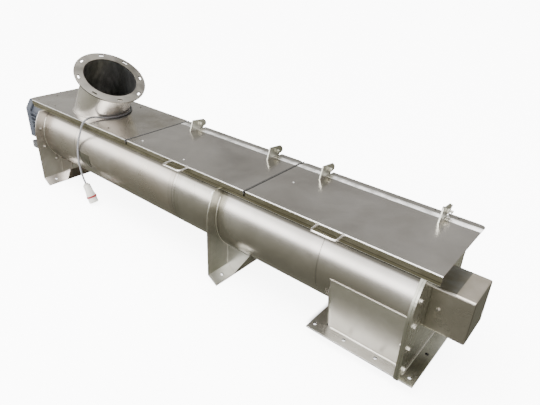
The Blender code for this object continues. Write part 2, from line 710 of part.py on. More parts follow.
def drive_plate():
    """The end plate at the drive, bolted behind the inlet support."""
    outline = shouldered_outline(SUPPORT_RADIUS - 0.004, AXIS_Z - 0.16)
    start = INLET_SUPPORT_X - DRIVE_PLATE - TOUCH
    body = plate("drive_plate", outline, DRIVE_PLATE, SIDE_ON, (along(start + DRIVE_PLATE / 2), 0, 0),
                 finish=steel("drive_plate_steel"))
    return cut(body, tube_cutter("cut_drive_plate_bore", SHAFT_RADIUS / 2 + 0.002, start - 0.05, start + 0.05, 32))


def drive_lantern():
    """The round housing between the drive plate and the gearbox."""
    end = INLET_SUPPORT_X - DRIVE_PLATE - 2 * TOUCH
    body = tube_cutter("drive_lantern", 0.090, GEARBOX_END + TOUCH, end, 48)
    place(body, material("lantern_grey", CAST_GREY, 0.45, 0.7))
    body.hide_render = False
    body.display_type = "TEXTURED"
    return round_shading(cut(body, tube_cutter("cut_lantern_bore", SHAFT_RADIUS / 2 + 0.002, -0.2, 0.3, 32)))


def gearbox():
    """The round gear case, with an arm that bears on the torque stop."""
    body = rod("gearbox", GEARBOX_RADIUS, (along(GEARBOX_START), 0, AXIS_Z), (along(GEARBOX_END), 0, AXIS_Z), 40,
               material("gearbox_blue", MOTOR_BLUE, 0.5, 0.2))
    arm = box("gearbox_arm", (along(-0.035), TOUCH - STOP_Y, STOP_Z - 0.018),
              (along(0.015), 0, AXIS_Z - GEARBOX_RADIUS / 2))
    join(body, arm)
    return round_shading(cut(body, tube_cutter("cut_gearbox_bore", SHAFT_RADIUS / 2 + 0.002, 0, 0.2, 32)))


def torque_stop():
    """The bar on the drive plate that holds the gear case against turning."""
    end = along(INLET_SUPPORT_X - DRIVE_PLATE - 2 * TOUCH)
    return box("torque_stop", (along(-0.140), -STOP_Y - 0.024, STOP_Z - STOP_HALF_HEIGHT),
               (end, -STOP_Y, STOP_Z + STOP_HALF_HEIGHT), material("stop_black", CAST_GREY, 0.7, 0.0))


def motor_outline(shrink=0.0):
    """The motor's section: square, with the upper corners taken off."""
    half = MOTOR_HALF - shrink
    side, rise = MOTOR_CHAMFER
    return [(-half, AXIS_Z - half), (half, AXIS_Z - half), (half, AXIS_Z + half - rise), (half - side, AXIS_Z + half),
            (side - half, AXIS_Z + half), (-half, AXIS_Z + half - rise)]


def motor():
    """The motor body, with its long fins along the conveyor on both sides."""
    start, end = along(MOTOR_END + COWL_LENGTH) + TOUCH, along(GEARBOX_START) - TOUCH
    body = plate("motor", motor_outline(0.012), end - start, SIDE_ON, ((start + end) / 2, 0, 0),
                 finish=material("motor_blue", MOTOR_BLUE, 0.5, 0.2))
    fins = []
    for i in range(7):
        middle = AXIS_Z - MOTOR_HALF + 0.016 + i * 0.029
        fins.append(box(f"motor_fin_{i}", (start + 0.003, -MOTOR_HALF, middle - 0.003),
                        (end - 0.012, MOTOR_HALF, middle + 0.003)))
    return join(body, *fins)


def fan_cowl():
    """The cowl over the motor's fan."""
    middle = along(MOTOR_END + COWL_LENGTH / 2)
    body = plate("fan_cowl", motor_outline(), COWL_LENGTH, SIDE_ON, (middle, 0, 0),
                 finish=material("cowl_blue", MOTOR_BLUE, 0.5, 0.2))
    edges = body.modifiers.new("Edges", "BEVEL")
    edges.width = 0.008
    edges.segments = 2
    return body


def terminal_box():
    """The connection box on the motor's far side."""
    body = box("terminal_box", (along(TERMINAL_X - TERMINAL_HALF), TERMINAL_START, AXIS_Z - TERMINAL_HALF),
               (along(TERMINAL_X + TERMINAL_HALF), TERMINAL_START + TERMINAL_DEPTH, AXIS_Z + TERMINAL_HALF),
               material("terminal_blue", MOTOR_BLUE, 0.5, 0.2))
    edges = body.modifiers.new("Edges", "BEVEL")
    edges.width = 0.006
    edges.segments = 2
    return body


def cable_gland():
    """The gland on top of the connection box."""
    top = GLAND_BASE + Vector((0, 0, GLAND_LENGTH))
    return rod("cable_gland", 0.013, GLAND_BASE, top, 12, material("gland_black", CAST_GREY, 0.6, 0.0))


def cord_points():
    """The cord's own route: up from the gland, over the cover, round the spigot and down over the front."""
    gland = GLAND_BASE + Vector((0, 0, GLAND_LENGTH + TOUCH))
    z = COVER_CORD_Z
    down = (PLUG_END - PLUG_TOP).normalized()
    up_behind = [(-0.140, 0.1645, 0.434), (-0.136, 0.168, 0.4515), (-0.1275, 0.175, 0.467), (-0.116, 0.186, 0.478),
                 (-0.100, 0.199, 0.4845), (-0.0565, 0.2285, 0.490), (0.005, 0.255, 0.500), (0.055, 0.268, 0.522)]
    over_the_cover = [(0.100, 0.266, z + 0.001), (0.145, 0.249, z + 0.012), (0.190, 0.225, z + 0.008),
                      (0.240, 0.206, z + 0.001), (0.300, 0.196, z), (0.380, 0.186, z), (0.470, 0.176, z),
                      (0.560, 0.158, z), (0.628, 0.114, z), (0.668, 0.055, z), (0.6785, -0.005, z),
                      (0.664, -0.062, z), (0.638, -0.104, z + 0.003), (0.622, -0.137, z + 0.0095),
                      (0.6215, -0.170, z + 0.012)]
    down_the_front = [(0.623, -0.1955, z + 0.0065), (0.618, -0.215, z - 0.0095), (0.610, -0.225, z - 0.035),
                      (0.596, -0.228, 0.478), (0.572, -0.229, 0.436), (0.548, -0.2295, 0.388),
                      (0.533, -0.2295, 0.335), (0.527, -0.2295, 0.286), (0.529, -0.2295, 0.241),
                      (0.538, -0.2295, 0.198)]
    route = [Vector((along(x), y, height)) for x, y, height in up_behind + over_the_cover + down_the_front]
    return [gland, *route, PLUG_TOP - down * 0.026, PLUG_TOP - down * TOUCH]


def smooth(points, spacing, bend=22):
    """Points read off a smooth curve, closer together where it bends. Its first and last stretches are straight."""
    fine = []
    for a, b, c, d in zip(points, points[1:], points[2:], points[3:]):
        for i in range(24):
            t = i / 24
            fine.append(0.5 * (2 * b + (c - a) * t + (2 * a - 5 * b + 4 * c - d) * t ** 2
                               + (3 * b - a - 3 * c + d) * t ** 3))
    kept = [fine[0]]
    heading = fine[1] - fine[0]
    travelled = 0.0
    for before, point in zip(fine, fine[1:]):
        travelled += (point - before).length
        turned_by = math.degrees((point - before).angle(heading, 0.0))
        if travelled >= spacing or (turned_by >= bend and travelled >= 0.008):
            kept.append(point)
            heading = point - before
            travelled = 0.0
    if travelled < spacing / 3:
        kept.pop()
    return [points[0], *kept, points[-2], points[-1]]


def mains_cord():
    """The supply cord, from the gland to the plug."""
    points = smooth(cord_points(), 0.030)
    curve = bpy.data.curves.new("mains_cord", "CURVE")
    curve.dimensions = "3D"
    curve.bevel_depth = CORD_RADIUS
    curve.bevel_resolution = 2
    curve.use_fill_caps = True
    spline = curve.splines.new("POLY")
    spline.points.add(len(points) - 1)
    for knot, point in zip(spline.points, points):
        knot.co = (*point, 1)
    obj = bpy.data.objects.new("mains_cord", curve)
    bpy.context.scene.collection.objects.link(obj)
    return place(round_shading(as_mesh(obj)), material("cord_grey", CORD_GREY, 0.55, 0.0))


def turned(name, profile, finish, start, end, steps=24):
    """A turned piece along a line: its profile is pairs of radius and distance from the end."""
    form = bmesh.new()
    verts = [form.verts.new((radius, 0, height)) for radius, height in profile]
    for a, b in zip(verts, verts[1:]):
        form.edges.new((a, b))
    mesh = bpy.data.meshes.new(name)
    form.to_mesh(mesh)
    form.free()
    turn = (start - end).to_track_quat("Z", "X").to_matrix().to_4x4()
    obj = bpy.data.objects.new(name, mesh)
    obj.matrix_world = Matrix.Translation(end) @ turn
    bpy.context.scene.collection.objects.link(obj)
    place(obj, finish)
    spin = obj.modifiers.new("Turn", "SCREW")
    spin.steps = steps
    spin.render_steps = steps
    spin.use_merge_vertices = True
    spin.merge_threshold = 0.00005
    return obj


def mains_plug():
    """The industrial plug on the cord's end: grip, shoulder and collar."""
    length = (PLUG_TOP - PLUG_END).length
    profile = [(0, length), (0.0125, length), (0.014, length - 0.012), (0.0215, length - 0.020),
               (0.024, length - 0.060), (PLUG_RADIUS, 0.052), (PLUG_RADIUS, 0), (0, 0)]
    return turned("mains_plug", profile, material("plug_white", PLUG_WHITE, 0.45, 0.0), PLUG_TOP, PLUG_END)


def plug_ring():
    """The coloured locking ring round the plug's collar."""
    inner = PLUG_RADIUS + TOUCH
    outer = PLUG_RADIUS + 0.003
    profile = [(outer, RING_HIGH), (outer, RING_LOW), (inner, RING_LOW), (inner, RING_HIGH), (outer, RING_HIGH)]
    return turned("plug_ring", profile, material("plug_red", PLUG_RED, 0.4, 0.0), PLUG_TOP, PLUG_END)


def nameplate():
    """The bare plate on the front of the trough, bent to its curve."""
    low, high = 176.9, 197.5
    inner, outer = TUBE_RADIUS + TOUCH, TUBE_RADIUS + TOUCH + 0.0012
    outline = arc((0, AXIS_Z), outer, low, high, 8) + arc((0, AXIS_Z), inner, high, low, 8)
    return plate("nameplate", outline, 0.098, SIDE_ON, (along(0.591), 0, 0),
                 finish=material("nameplate_grey", DARK_STAINLESS, 0.45, 0.9))


def build_fixed_structure():
    trough_tube()
    trough_flange("trough_flange_front", -1, FLANGE_HALF_WIDTH, LID_LENGTH - 0.003)
    trough_flange("trough_flange_rear", 1, REAR_FLANGE_WIDTH, TUBE_END + 2 * OUTLET_PLATE)
    support("inlet_support", INLET_SUPPORT_X, TUBE_RADIUS + TOUCH)
    support("mid_support", MID_SUPPORT_X, TUBE_RADIUS + TOUCH)
    for name, start in (("inlet", INLET_SUPPORT_X), ("mid", MID_SUPPORT_X)):
        gusset(f"{name}_gusset_front", start, -1)
        gusset(f"{name}_gusset_rear", start, 1)
    discharge_chute()
    discharge_frame()
    trough_end_flange()
    outlet_end_plate()
    shaft_guard()
    end_bearing()
    nameplate()


def build_inlet():
    inlet_cover()
    inlet_spigot()
    inlet_collar()
    inlet_flange()


def build_screw_and_drive():
    screw_shaft()
    screw_flight()
    drive_plate()
    drive_lantern()
    gearbox()
    torque_stop()
    motor()
    fan_cowl()
    terminal_box()
    cable_gland()
    mains_cord()
    mains_plug()
    plug_ring()


def hang(name, middle, pieces):
    """Parents a lid's pieces to an empty on its hinge's axis."""
    hinge = bpy.data.objects.new(name, None)
    hinge.location = (along(middle), HINGE_Y, HINGE_Z)
    collection(COLLECTION).objects.link(hinge)
    bpy.context.view_layer.update()
    for piece in pieces:
        piece.parent = hinge
        piece.matrix_parent_inverse = hinge.matrix_world.inverted()


def build_lids():
    half = SEAM_GAP / 2
    lids = (("mid_lid", FIRST_SEAM + half, SECOND_SEAM - half), ("end_lid", SECOND_SEAM + half, LID_LENGTH))
    for i, (name, start, end) in enumerate(lids):
        places = LUG_PLACES[2 * i:2 * i + 2]
        pieces = [hinged_lid(name, start, end, places), handle(f"lid_handle_{i + 1}", HANDLE_PLACES[i])]
        for j, place_x in enumerate(places):
            number = 2 * i + j + 1
            pieces.append(lug(f"lid_lug_{number}", place_x))
            bracket(f"hinge_bracket_{number}", place_x, PIN_TAILS[number - 1])
        hang(name + "_hinge", (start + end) / 2, pieces)


clear_scene()
build_fixed_structure()
build_inlet()
build_screw_and_drive()
build_lids()
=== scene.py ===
"""How the inclined screw conveyor looks: finishes, bolts, welds and cord, on a pale floor in soft light.

X runs along the conveyor from the drive to the discharge, Y across it, Z up, all in metres, as in the solids.
"""

import math
import random

import bmesh
import bpy
from mathutils import Matrix, Vector


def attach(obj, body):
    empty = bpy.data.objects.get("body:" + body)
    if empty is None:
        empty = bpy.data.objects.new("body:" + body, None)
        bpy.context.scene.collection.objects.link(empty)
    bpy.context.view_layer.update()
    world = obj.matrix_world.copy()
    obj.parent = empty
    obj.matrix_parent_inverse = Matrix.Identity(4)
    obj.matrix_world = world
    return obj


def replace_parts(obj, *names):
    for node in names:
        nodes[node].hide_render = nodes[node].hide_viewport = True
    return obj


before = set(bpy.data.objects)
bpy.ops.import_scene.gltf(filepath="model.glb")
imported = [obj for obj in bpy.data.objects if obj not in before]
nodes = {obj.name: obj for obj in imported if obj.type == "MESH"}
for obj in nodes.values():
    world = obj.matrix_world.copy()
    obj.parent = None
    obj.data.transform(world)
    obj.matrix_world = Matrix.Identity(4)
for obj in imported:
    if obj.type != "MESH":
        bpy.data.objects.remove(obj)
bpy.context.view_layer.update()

# The same sizes as the solids
LID_START = -1.3058
LID_TOP = 0.540
LID_HALF_WIDTH = 0.203
TUBE_RADIUS = 0.223
AXIS_Z = LID_TOP - 0.210
INCLINE = math.radians(32)
TOUCH = 0.0003
FIRST_SEAM = 1.015
SECOND_SEAM = 1.875
FOOT_BEND_Z = 0.070 * math.sin(INCLINE)
PLATE = 0.006
INLET_SUPPORT_X = 0.122
MID_SUPPORT_X = 1.709
TUBE_SEAMS = (0.489, 1.403, 2.295)     # between the trough's rolled sections
GUSSET_Y = 0.141
CHUTE_START = 2.346
TUBE_END = 2.711
END_PLATE_FACE = 2.7313
FRAME_BOTTOM = 0.040
FRAME_TOP = 0.046
CHUTE_HALF = 0.183
INLET_X = 0.480
SPIGOT_RADIUS = 0.155
SPIGOT_RISE = 0.270
INLET_FLANGE_THICK = 0.008
COLLAR_RADIUS = 0.160
COLLAR_THICK = 0.004
LUG_PLACES = (1.156, 1.727, 2.048, 2.628)
HANDLE_PLACES = (1.443, 2.329)
HANDLE_WIDTH = 0.119
HANDLE_Z = LID_TOP - 0.008
NUT_CIRCLE = 0.247              # radius of the ring of nuts on the inlet support
GUARD_TOP = LID_TOP - 0.128
GUARD_END = 2.8916
MOTOR_HALF = 0.133
MOTOR_END = -0.280
BOX_LOW = 0.2745                # the connection box, from its lower edge to its upper one
BOX_HIGH = 0.3855
CORD_RADIUS = 0.0055
GLAND_LENGTH = 0.028
FOOT_HOLE_Y = 0.213
# The frame holes' radius reaches the painted shade on their walls.
FRAME_HOLE_RADIUS = 0.0090      # to the dark of the hole's wall

# Where the floor is painted dark without glow, as deep shadow: start and end along the conveyor, and half the
# width
FLOOR_SHADOWS = ((2.255, 2.77, 0.18), (0.070, 0.165, 0.20), (1.660, 1.755, 0.20))
FLOOR_GLOW = 7.0

# Colours of the stainless steel, and the way its grain runs
STEEL_LIGHT = (0.635, 0.605, 0.57)
STEEL_DARK = (0.515, 0.485, 0.45)
STEEL_BROWN = (0.43, 0.40, 0.34)
GREEN_LIGHT = (0.62, 0.61, 0.545)
GREEN_DARK = (0.38, 0.375, 0.315)
LENGTHWAYS = (1.5, 60, 60)
CROSSWAYS = (60, 1.5, 60)
UPRIGHT = (60, 60, 1.5)
EVEN = (1, 1, 1)

# The view of the photo
CAMERA_PLACE = Vector((1.83118, -1.60804, 1.51934))
CAMERA_AZIMUTH = math.radians(38.403)      # to the left of +Y
CAMERA_PITCH = math.radians(28.673)        # downwards
CAMERA_ROLL = math.radians(2.548)
CAMERA_LENS = 32.10


def along(distance):
    """World X of a place given from the left end of the lids."""
    return LID_START + distance


GLAND_BASE = Vector((along(-0.140), MOTOR_HALF + TOUCH + 0.031, AXIS_Z + 0.055 + TOUCH))
PLUG_TOP = Vector((along(0.567), -0.229, 0.134))
PLUG_END = Vector((along(0.616), -0.219, 0.0146))
COVER_CORD_Z = LID_TOP + CORD_RADIUS + 0.001


def make_camera():
    """The camera of the photo's view."""
    data = bpy.data.cameras.new("camera")
    data.lens = CAMERA_LENS
    data.sensor_width = 36
    data.sensor_fit = "HORIZONTAL"
    data.clip_end = 100
    camera = bpy.data.objects.new("camera", data)
    heading = Matrix.Rotation(CAMERA_AZIMUTH, 4, "Z") @ Matrix.Rotation(math.pi / 2 - CAMERA_PITCH, 4, "X")
    camera.matrix_world = Matrix.Translation(CAMERA_PLACE) @ heading @ Matrix.Rotation(CAMERA_ROLL, 4, "Z")
    bpy.context.scene.collection.objects.link(camera)
    bpy.context.scene.camera = camera


# Finishes


class Nodes:
    """Short ways to add nodes to a tree."""

    def __init__(self, tree):
        self.tree = tree

    def link(self, output, socket):
        """Joins two nodes."""
        self.tree.links.new(output, socket)

    def feed(self, socket, value):
        """Sets a socket to a number, vector or colour, or links it to another node."""
        if isinstance(value, tuple) and socket.type == "RGBA":
            value = (*value, 1.0)
        if isinstance(value, (int, float, tuple)):
            socket.default_value = value
        else:
            self.link(value, socket)

    def fed(self, kind, *values, **settings):
        """A new node with its first sockets fed."""
        node = self.tree.nodes.new(kind)
        for setting, choice in settings.items():
            setattr(node, setting, choice)
        for socket, value in zip(node.inputs, values):
            self.feed(socket, value)
        return node

    def spread(self, value, low, high, to_low=0.0, to_high=1.0):
        """Carries a value from one range to another, and holds it at the ends."""
        return self.fed("ShaderNodeMapRange", value, low, high, to_low, to_high).outputs["Result"]

    def fall(self, value, low, high):
        """One below the low end of a value, and zero past the high one."""
        return self.spread(value, low, high, 1.0, 0.0)

    def sums(self, first, second, operation="ADD"):
        """Two values added, or joined by another operation."""
        return self.fed("ShaderNodeMath", first, second, operation=operation).outputs["Value"]

    def times(self, first, second):
        """Two values multiplied."""
        return self.sums(first, second, "MULTIPLY")

    def mix(self, factor, low, high, kind="MIX"):
        """A colour between two, by a factor, or the two added or multiplied."""
        node = self.fed("ShaderNodeMix", factor, data_type="RGBA", blend_type=kind)
        self.feed(node.inputs[6], low)
        self.feed(node.inputs[7], high)
        return node.outputs[2]

    def parts(self, place):
        """The three coordinates of a place."""
        return self.fed("ShaderNodeSeparateXYZ", place).outputs

    def ramp(self, value, tones, unit=1):
        """Colours along a value: tones is pairs of value, in a unit, and grey level or colour."""
        low, high = tones[0][0], tones[-1][0]
        node = self.fed("ShaderNodeValToRGB", self.spread(value, low * unit, high * unit))
        stops = node.color_ramp.elements
        while len(stops) < len(tones):
            stops.new(0.5)
        for stop, (at_value, tone) in zip(stops, tones):
            stop.position = (at_value - low) / (high - low)
        for stop, (at_value, tone) in zip(stops, tones):
            stop.color = (*tone, 1) if isinstance(tone, tuple) else (tone, tone, tone, 1)
        return node.outputs["Color"]


class Finish(Nodes):
    """A material under construction: its tone, roughness and normal grow step by step."""

    def __init__(self, name):
        self.material = bpy.data.materials.new(name)
        self.material.use_nodes = True
        super().__init__(self.material.node_tree)
        self.shader = self.tree.nodes["Principled BSDF"]
        self.place = self.fed("ShaderNodeTexCoord").outputs["Object"]
        self.normal = None
        self.tone = None
        self.rough = None

    def noise(self, scale, stretch=EVEN, detail=3.0, roughness=0.5, distortion=0.0):
        """Cloudy noise that is fixed to the object."""
        mapping = self.fed("ShaderNodeMapping", self.place)
        mapping.inputs["Scale"].default_value = stretch
        noise = self.fed("ShaderNodeTexNoise", mapping.outputs["Vector"])
        settings = {"Scale": scale, "Detail": detail, "Roughness": roughness, "Distortion": distortion}
        for name, value in settings.items():
            noise.inputs[name].default_value = value
        return noise.outputs["Fac"]

    def cover(self, mask, colour, amount=1):
        """Lays a colour over the tone where the mask is one, in full or by an amount."""
        if amount != 1:
            mask = self.times(mask, amount)
        self.tone = self.mix(mask, self.tone, colour)

    def roughen(self, mask, amount):
        """Adds to the roughness where the mask is one."""
        self.rough = self.sums(self.rough, self.times(mask, amount))

    def axis(self, name):
        """One coordinate of the place: X, Y or Z."""
        return self.parts(self.place)[name]

    def band(self, value, start, end, fade=0.002):
        """One between start and end of a value, and zero outside."""
        rise = self.spread(value, start - fade, start + fade)
        return self.times(rise, self.fall(value, end - fade, end + fade))

    def spot(self, middle, radius, fade=0.5):
        """One near a place, and zero past the radius."""
        apart = self.fed("ShaderNodeVectorMath", self.place, middle, operation="DISTANCE")
        return self.fall(apart.outputs["Value"], radius * fade, radius)

    def reach(self, first, second):
        """How far two coordinates are from zero together."""
        return self.sums(self.sums(self.sums(first, 2, "POWER"), self.sums(second, 2, "POWER")), 0.5, "POWER")

    def above_axis(self):
        """Height above the trough's axis."""
        return self.sums(self.axis("Z"), AXIS_Z, "SUBTRACT")

    def from_axis(self):
        """Distance from the trough's axis."""
        return self.reach(self.axis("Y"), self.above_axis())

    def unit(self, arrow):
        """A vector brought to a length of one."""
        return self.fed("ShaderNodeVectorMath", arrow, operation="NORMALIZE").outputs["Vector"]

    def tilt(self, amount, direction):
        """Leans the surface's normal in a direction, by an amount that may vary over it."""
        lean = self.fed("ShaderNodeVectorMath", direction, operation="SCALE")
        self.link(amount, lean.inputs["Scale"])
        total = self.fed("ShaderNodeVectorMath", self.normal, lean.outputs["Vector"], operation="ADD")
        self.normal = self.unit(total.outputs["Vector"])

    def exact_normal(self, mask, *parts):
        """The true normal of a round surface where the mask is one, so that it shows no facets."""
        true = self.unit(self.fed("ShaderNodeCombineXYZ", *parts).outputs["Vector"])
        node = self.fed("ShaderNodeMix", mask, data_type="VECTOR")
        self.link(self.normal, node.inputs[4])
        self.link(true, node.inputs[5])
        self.normal = node.outputs[1]

    def bump(self, height, strength, distance):
        """Raises the surface by a height that varies over it."""
        node = self.tree.nodes.new("ShaderNodeBump")
        node.inputs["Strength"].default_value = strength
        node.inputs["Distance"].default_value = distance
        self.link(height, node.inputs["Height"])
        if self.normal is not None:
            self.link(self.normal, node.inputs["Normal"])
        self.normal = node.outputs["Normal"]

    def soft_edges(self, radius):
        """Rounds the edges that the light sees."""
        node = self.tree.nodes.new("ShaderNodeBevel")
        node.samples = 4
        node.inputs["Radius"].default_value = radius
        self.normal = node.outputs["Normal"]

    def done(self, roughness, metallic):
        """The finished material."""
        self.feed(self.shader.inputs["Base Color"], self.tone)
        self.feed(self.shader.inputs["Roughness"], roughness)
        self.shader.inputs["Metallic"].default_value = metallic
        if self.normal is not None:
            self.link(self.normal, self.shader.inputs["Normal"])
        return self.material

    def metal(self):
        """The finished material, as bare metal."""
        return self.done(self.rough, 1.0)


def sheet(name, grain=LENGTHWAYS, light=STEEL_LIGHT, dark=STEEL_DARK, gloss=0.22, waves=0.004,
          edge=0.0012, scratches=0.04, rounding=None):
    """Rolled stainless under construction: fine grain one way, cloudy smudges, slow waves, rounded edges."""
    finish = Finish(name)
    finish.soft_edges(edge)
    if rounding:
        rounding(finish)
    clouds = finish.noise(3.5, EVEN, 4, 0.55, 0.4)
    smudges = finish.noise(11, EVEN, 3, 0.5, 0.6)
    fine = finish.noise(8, grain, 6, 0.65)
    finish.tone = finish.mix(finish.spread(clouds, 0.35, 0.68), dark, light)
    finish.cover(finish.spread(smudges, 0.45, 0.80, 0.0, 0.22), STEEL_BROWN)
    finish.rough = finish.sums(finish.spread(clouds, 0.3, 0.7, gloss - 0.025, gloss + 0.03),
                               finish.spread(fine, 0.3, 0.7, -0.015, 0.015))
    finish.rough = finish.sums(finish.rough, finish.spread(smudges, 0.45, 0.80, 0.0, 0.03))
    finish.bump(finish.noise(2.2, EVEN, 1, 0.4), 0.6, waves)
    finish.bump(fine, scratches, 0.0004)
    return finish


def steel(name, *look, **more):
    """Plain stainless."""
    return sheet(name, *look, **more).metal()


def bead_steel(name, light, dark, gloss, waves=0.0004, edge=0.0004):
    """Steel of small parts and weld beads, with no grain."""
    return steel(name, EVEN, light, dark, gloss, waves, edge)


def lid_steel(name, with_strip):
    """The lids' sheet: a painted highlight on the bend, an olive, mottled front lip with a painted shadow
    line, and painted shade at the seams.
    """
    finish = sheet(name, gloss=0.205, waves=0.005, edge=0.0006, scratches=0.03)
    height, across, length = finish.axis("Z"), finish.axis("Y"), finish.axis("X")
    lip = finish.fall(height, LID_TOP - 0.0060, LID_TOP - 0.0045)
    lip = finish.times(lip, finish.fall(across, 0, 0.01))
    stains = finish.spread(finish.noise(22, (0.3, 1, 1), 5, 0.65), 0.35, 0.7)
    finish.cover(lip, finish.mix(stains, (0.27, 0.245, 0.165), (0.46, 0.435, 0.35)))
    finish.roughen(lip, 0.12)
    # Painted shadow line along the lower edge of the front lip.
    lip_shadow_line = finish.fall(height, LID_TOP - 0.0275, LID_TOP - 0.0255)
    finish.cover(finish.times(lip_shadow_line, lip), (0.05, 0.045, 0.03), 0.75)
    # Painted highlight on the front bend, above the lip.
    bend_highlight = finish.fall(across, 0.0008 - LID_HALF_WIDTH, 0.0028 - LID_HALF_WIDTH)
    bend_highlight = finish.times(finish.sums(bend_highlight, lip, "SUBTRACT"), 0.85)
    finish.cover(bend_highlight, (0.95, 0.94, 0.92))
    finish.roughen(bend_highlight, 0.12)
    if with_strip:
        rear_strip(finish, across, stains)
        shaded_holes_and_glints(finish)
    else:
        stained = finish.times(finish.spread(length, along(0.64), along(0.80)),
                               finish.spread(across, -0.12, 0.12))
        blots = finish.spread(finish.noise(9, EVEN, 4, 0.6), 0.38, 0.66, 0.15, 0.7)
        finish.cover(finish.times(stained, blots), (0.28, 0.245, 0.16))
    # Painted shade in the seams between the lids.
    for seam in (FIRST_SEAM, SECOND_SEAM):
        edge = finish.band(length, along(seam) - 0.0062, along(seam) + 0.0062, 0.0006)
        finish.cover(edge, (0.05, 0.047, 0.04))
    return finish.metal()


def rear_strip(finish, across, stains):
    """The bent strip along the hinges, painted pale as a reflection of the ceiling lamps, with a painted
    highlight on its crease, and its grey rim.
    """
    ragged = finish.sums(across, finish.spread(finish.noise(9, (1, 0.2, 1), 4), 0.3, 0.7, -0.002, 0.002))
    # Painted reflection: the strip painted pale in patches, as the ceiling lamps would show in it.
    patches = finish.spread(finish.noise(16, EVEN, 5, 0.6), 0.3, 0.7, 0.55, 1.0)
    strip_reflection = finish.times(finish.band(ragged, 0.178, 0.214, 0.0025), patches)
    finish.cover(strip_reflection, (0.90, 0.885, 0.86))
    # Painted highlight on the strip's crease.
    finish.cover(finish.band(ragged, 0.177, 0.189, 0.003), (0.95, 0.94, 0.93))
    rim = finish.spread(ragged, 0.212, 0.217)
    finish.cover(rim, finish.mix(stains, (0.30, 0.285, 0.25), (0.46, 0.44, 0.41)))
    finish.tilt(finish.times(strip_reflection, 0.33), (0, -1, 0))
    finish.roughen(rim, 0.1)


def shaded_holes_and_glints(finish):
    """Dark spots of painted shade, for small holes near the lids' rear edge, and painted glints on their
    tops.
    """
    # Dark spots of painted shade, standing in for small holes.
    for place_x, y in ((1.763, 0.222), (2.574, 0.235), (2.676, 0.234), (1.30, 0.226)):
        shaded_hole = finish.spot((along(place_x), y, LID_TOP - 0.001), 0.0065, 0.7)
        finish.cover(shaded_hole, (0.03, 0.028, 0.025), 0.85)
    # Painted glints.
    for place_x, y in ((1.086, -0.147), (1.429, -0.159), (1.98, 0.02)):
        glint = finish.spot((along(place_x), y, LID_TOP), 0.006)
        finish.cover(glint, (0.96, 0.96, 0.95))
        finish.roughen(glint, 0.3)


def trough_rounding(finish):
    """The trough's true round normal, outside."""
    outside = finish.spread(finish.from_axis(), TUBE_RADIUS - 0.0012, TUBE_RADIUS - 0.0008)
    finish.exact_normal(outside, 0.0, finish.axis("Y"), finish.above_axis())


def trough_steel(name):
    """The trough's rolled sections: warm near the drive, cooler past the first seam, tinted seams, painted
    shade and glints.
    """
    finish = sheet(name, (20, 20, 20), gloss=0.23, waves=0.002, scratches=0.012, rounding=trough_rounding)
    length, height = finish.axis("X"), finish.axis("Z")
    warm = finish.fall(length, along(1.39), along(1.41))
    clouds = finish.spread(finish.noise(5, EVEN, 5, 0.6, 0.5), 0.35, 0.65, 0.35, 1.0)
    finish.cover(finish.times(warm, clouds), (0.51, 0.46, 0.405))
    stains = finish.spread(finish.noise(7, (0.5, 1, 1), 4, 0.6, 0.6), 0.5, 0.72, 0.0, 0.5)
    finish.cover(finish.times(warm, stains), (0.40, 0.345, 0.28))
    seam_tints_and_support_shade(finish, length)
    long_scratch(finish, length, height)
    dirty = finish.times(finish.band(length, along(1.412), along(1.69), 0.01), clouds)
    finish.cover(dirty, (0.36, 0.34, 0.28), 0.45)
    # Darker towards the bottom of the warm section, as painted shade.
    low = finish.times(finish.spread(height, 0.15, 0.25, 0.45, 0.0), warm)
    finish.cover(low, (0.30, 0.28, 0.22))
    # Painted shade on the tube's lower front near the gussets, over bright reflections of them.
    gusset_shade = (0.17, 0.165, 0.13)
    for place_x, z in ((1.80, 0.18), (0.21, 0.19)):
        finish.cover(finish.spot((along(place_x), -0.17, z), 0.10, 0.35), gusset_shade, 0.7)
    dull = finish.times(finish.band(length, along(1.84), along(1.93), 0.030),
                        finish.band(height, 0.230, 0.262, 0.014))
    finish.cover(dull, gusset_shade, 0.6)
    # Painted shadow on the tube's top, under the lips of the strips along the slot.
    lip_shadow = finish.spread(height, LID_TOP - 0.0835, LID_TOP - 0.0765)
    finish.cover(lip_shadow, (0.07, 0.063, 0.045), 0.85)
    # Painted glints on the tube, left of the middle support.
    for place_x, y, z, radius in ((1.6649, -0.1896, 0.4474, 0.013), (1.6658, -0.2057, 0.416, 0.009)):
        finish.cover(finish.spot((along(place_x), y, z), radius, 0.4), (0.97, 0.97, 0.96))
    # Painted shade on the trough's inside.
    shaded_inside = finish.fall(finish.from_axis(), TUBE_RADIUS - 0.0025, TUBE_RADIUS - 0.0015)
    finish.cover(shaded_inside, (0.10, 0.095, 0.085), 0.8)
    finish.roughen(warm, 0.06)
    return finish.metal()


def seam_tints_and_support_shade(finish, length):
    """Tinted rings at the seams and painted shade beside the supports: place, half the width and strength of
    each.
    """
    first, middle, last = TUBE_SEAMS
    for place_x, width, strength in (
            (middle - 0.011, 0.005, 0.55), (middle + 0.009, 0.004, 0.45), (first, 0.003, 0.35),
            (last, 0.003, 0.35), (middle - 0.031, 0.012, 0.2), (middle + 0.027, 0.012, 0.15),
            # Painted shade beside the supports, where the tube reflects their plates.
            (MID_SUPPORT_X + 0.012, 0.007, 0.5), (MID_SUPPORT_X - 0.004, 0.004, 0.35),
            (INLET_SUPPORT_X + 0.011, 0.006, 0.45)):
        dark_ring = finish.band(length, along(place_x) - width, along(place_x) + width)
        finish.cover(dark_ring, (0.20, 0.185, 0.15), strength)


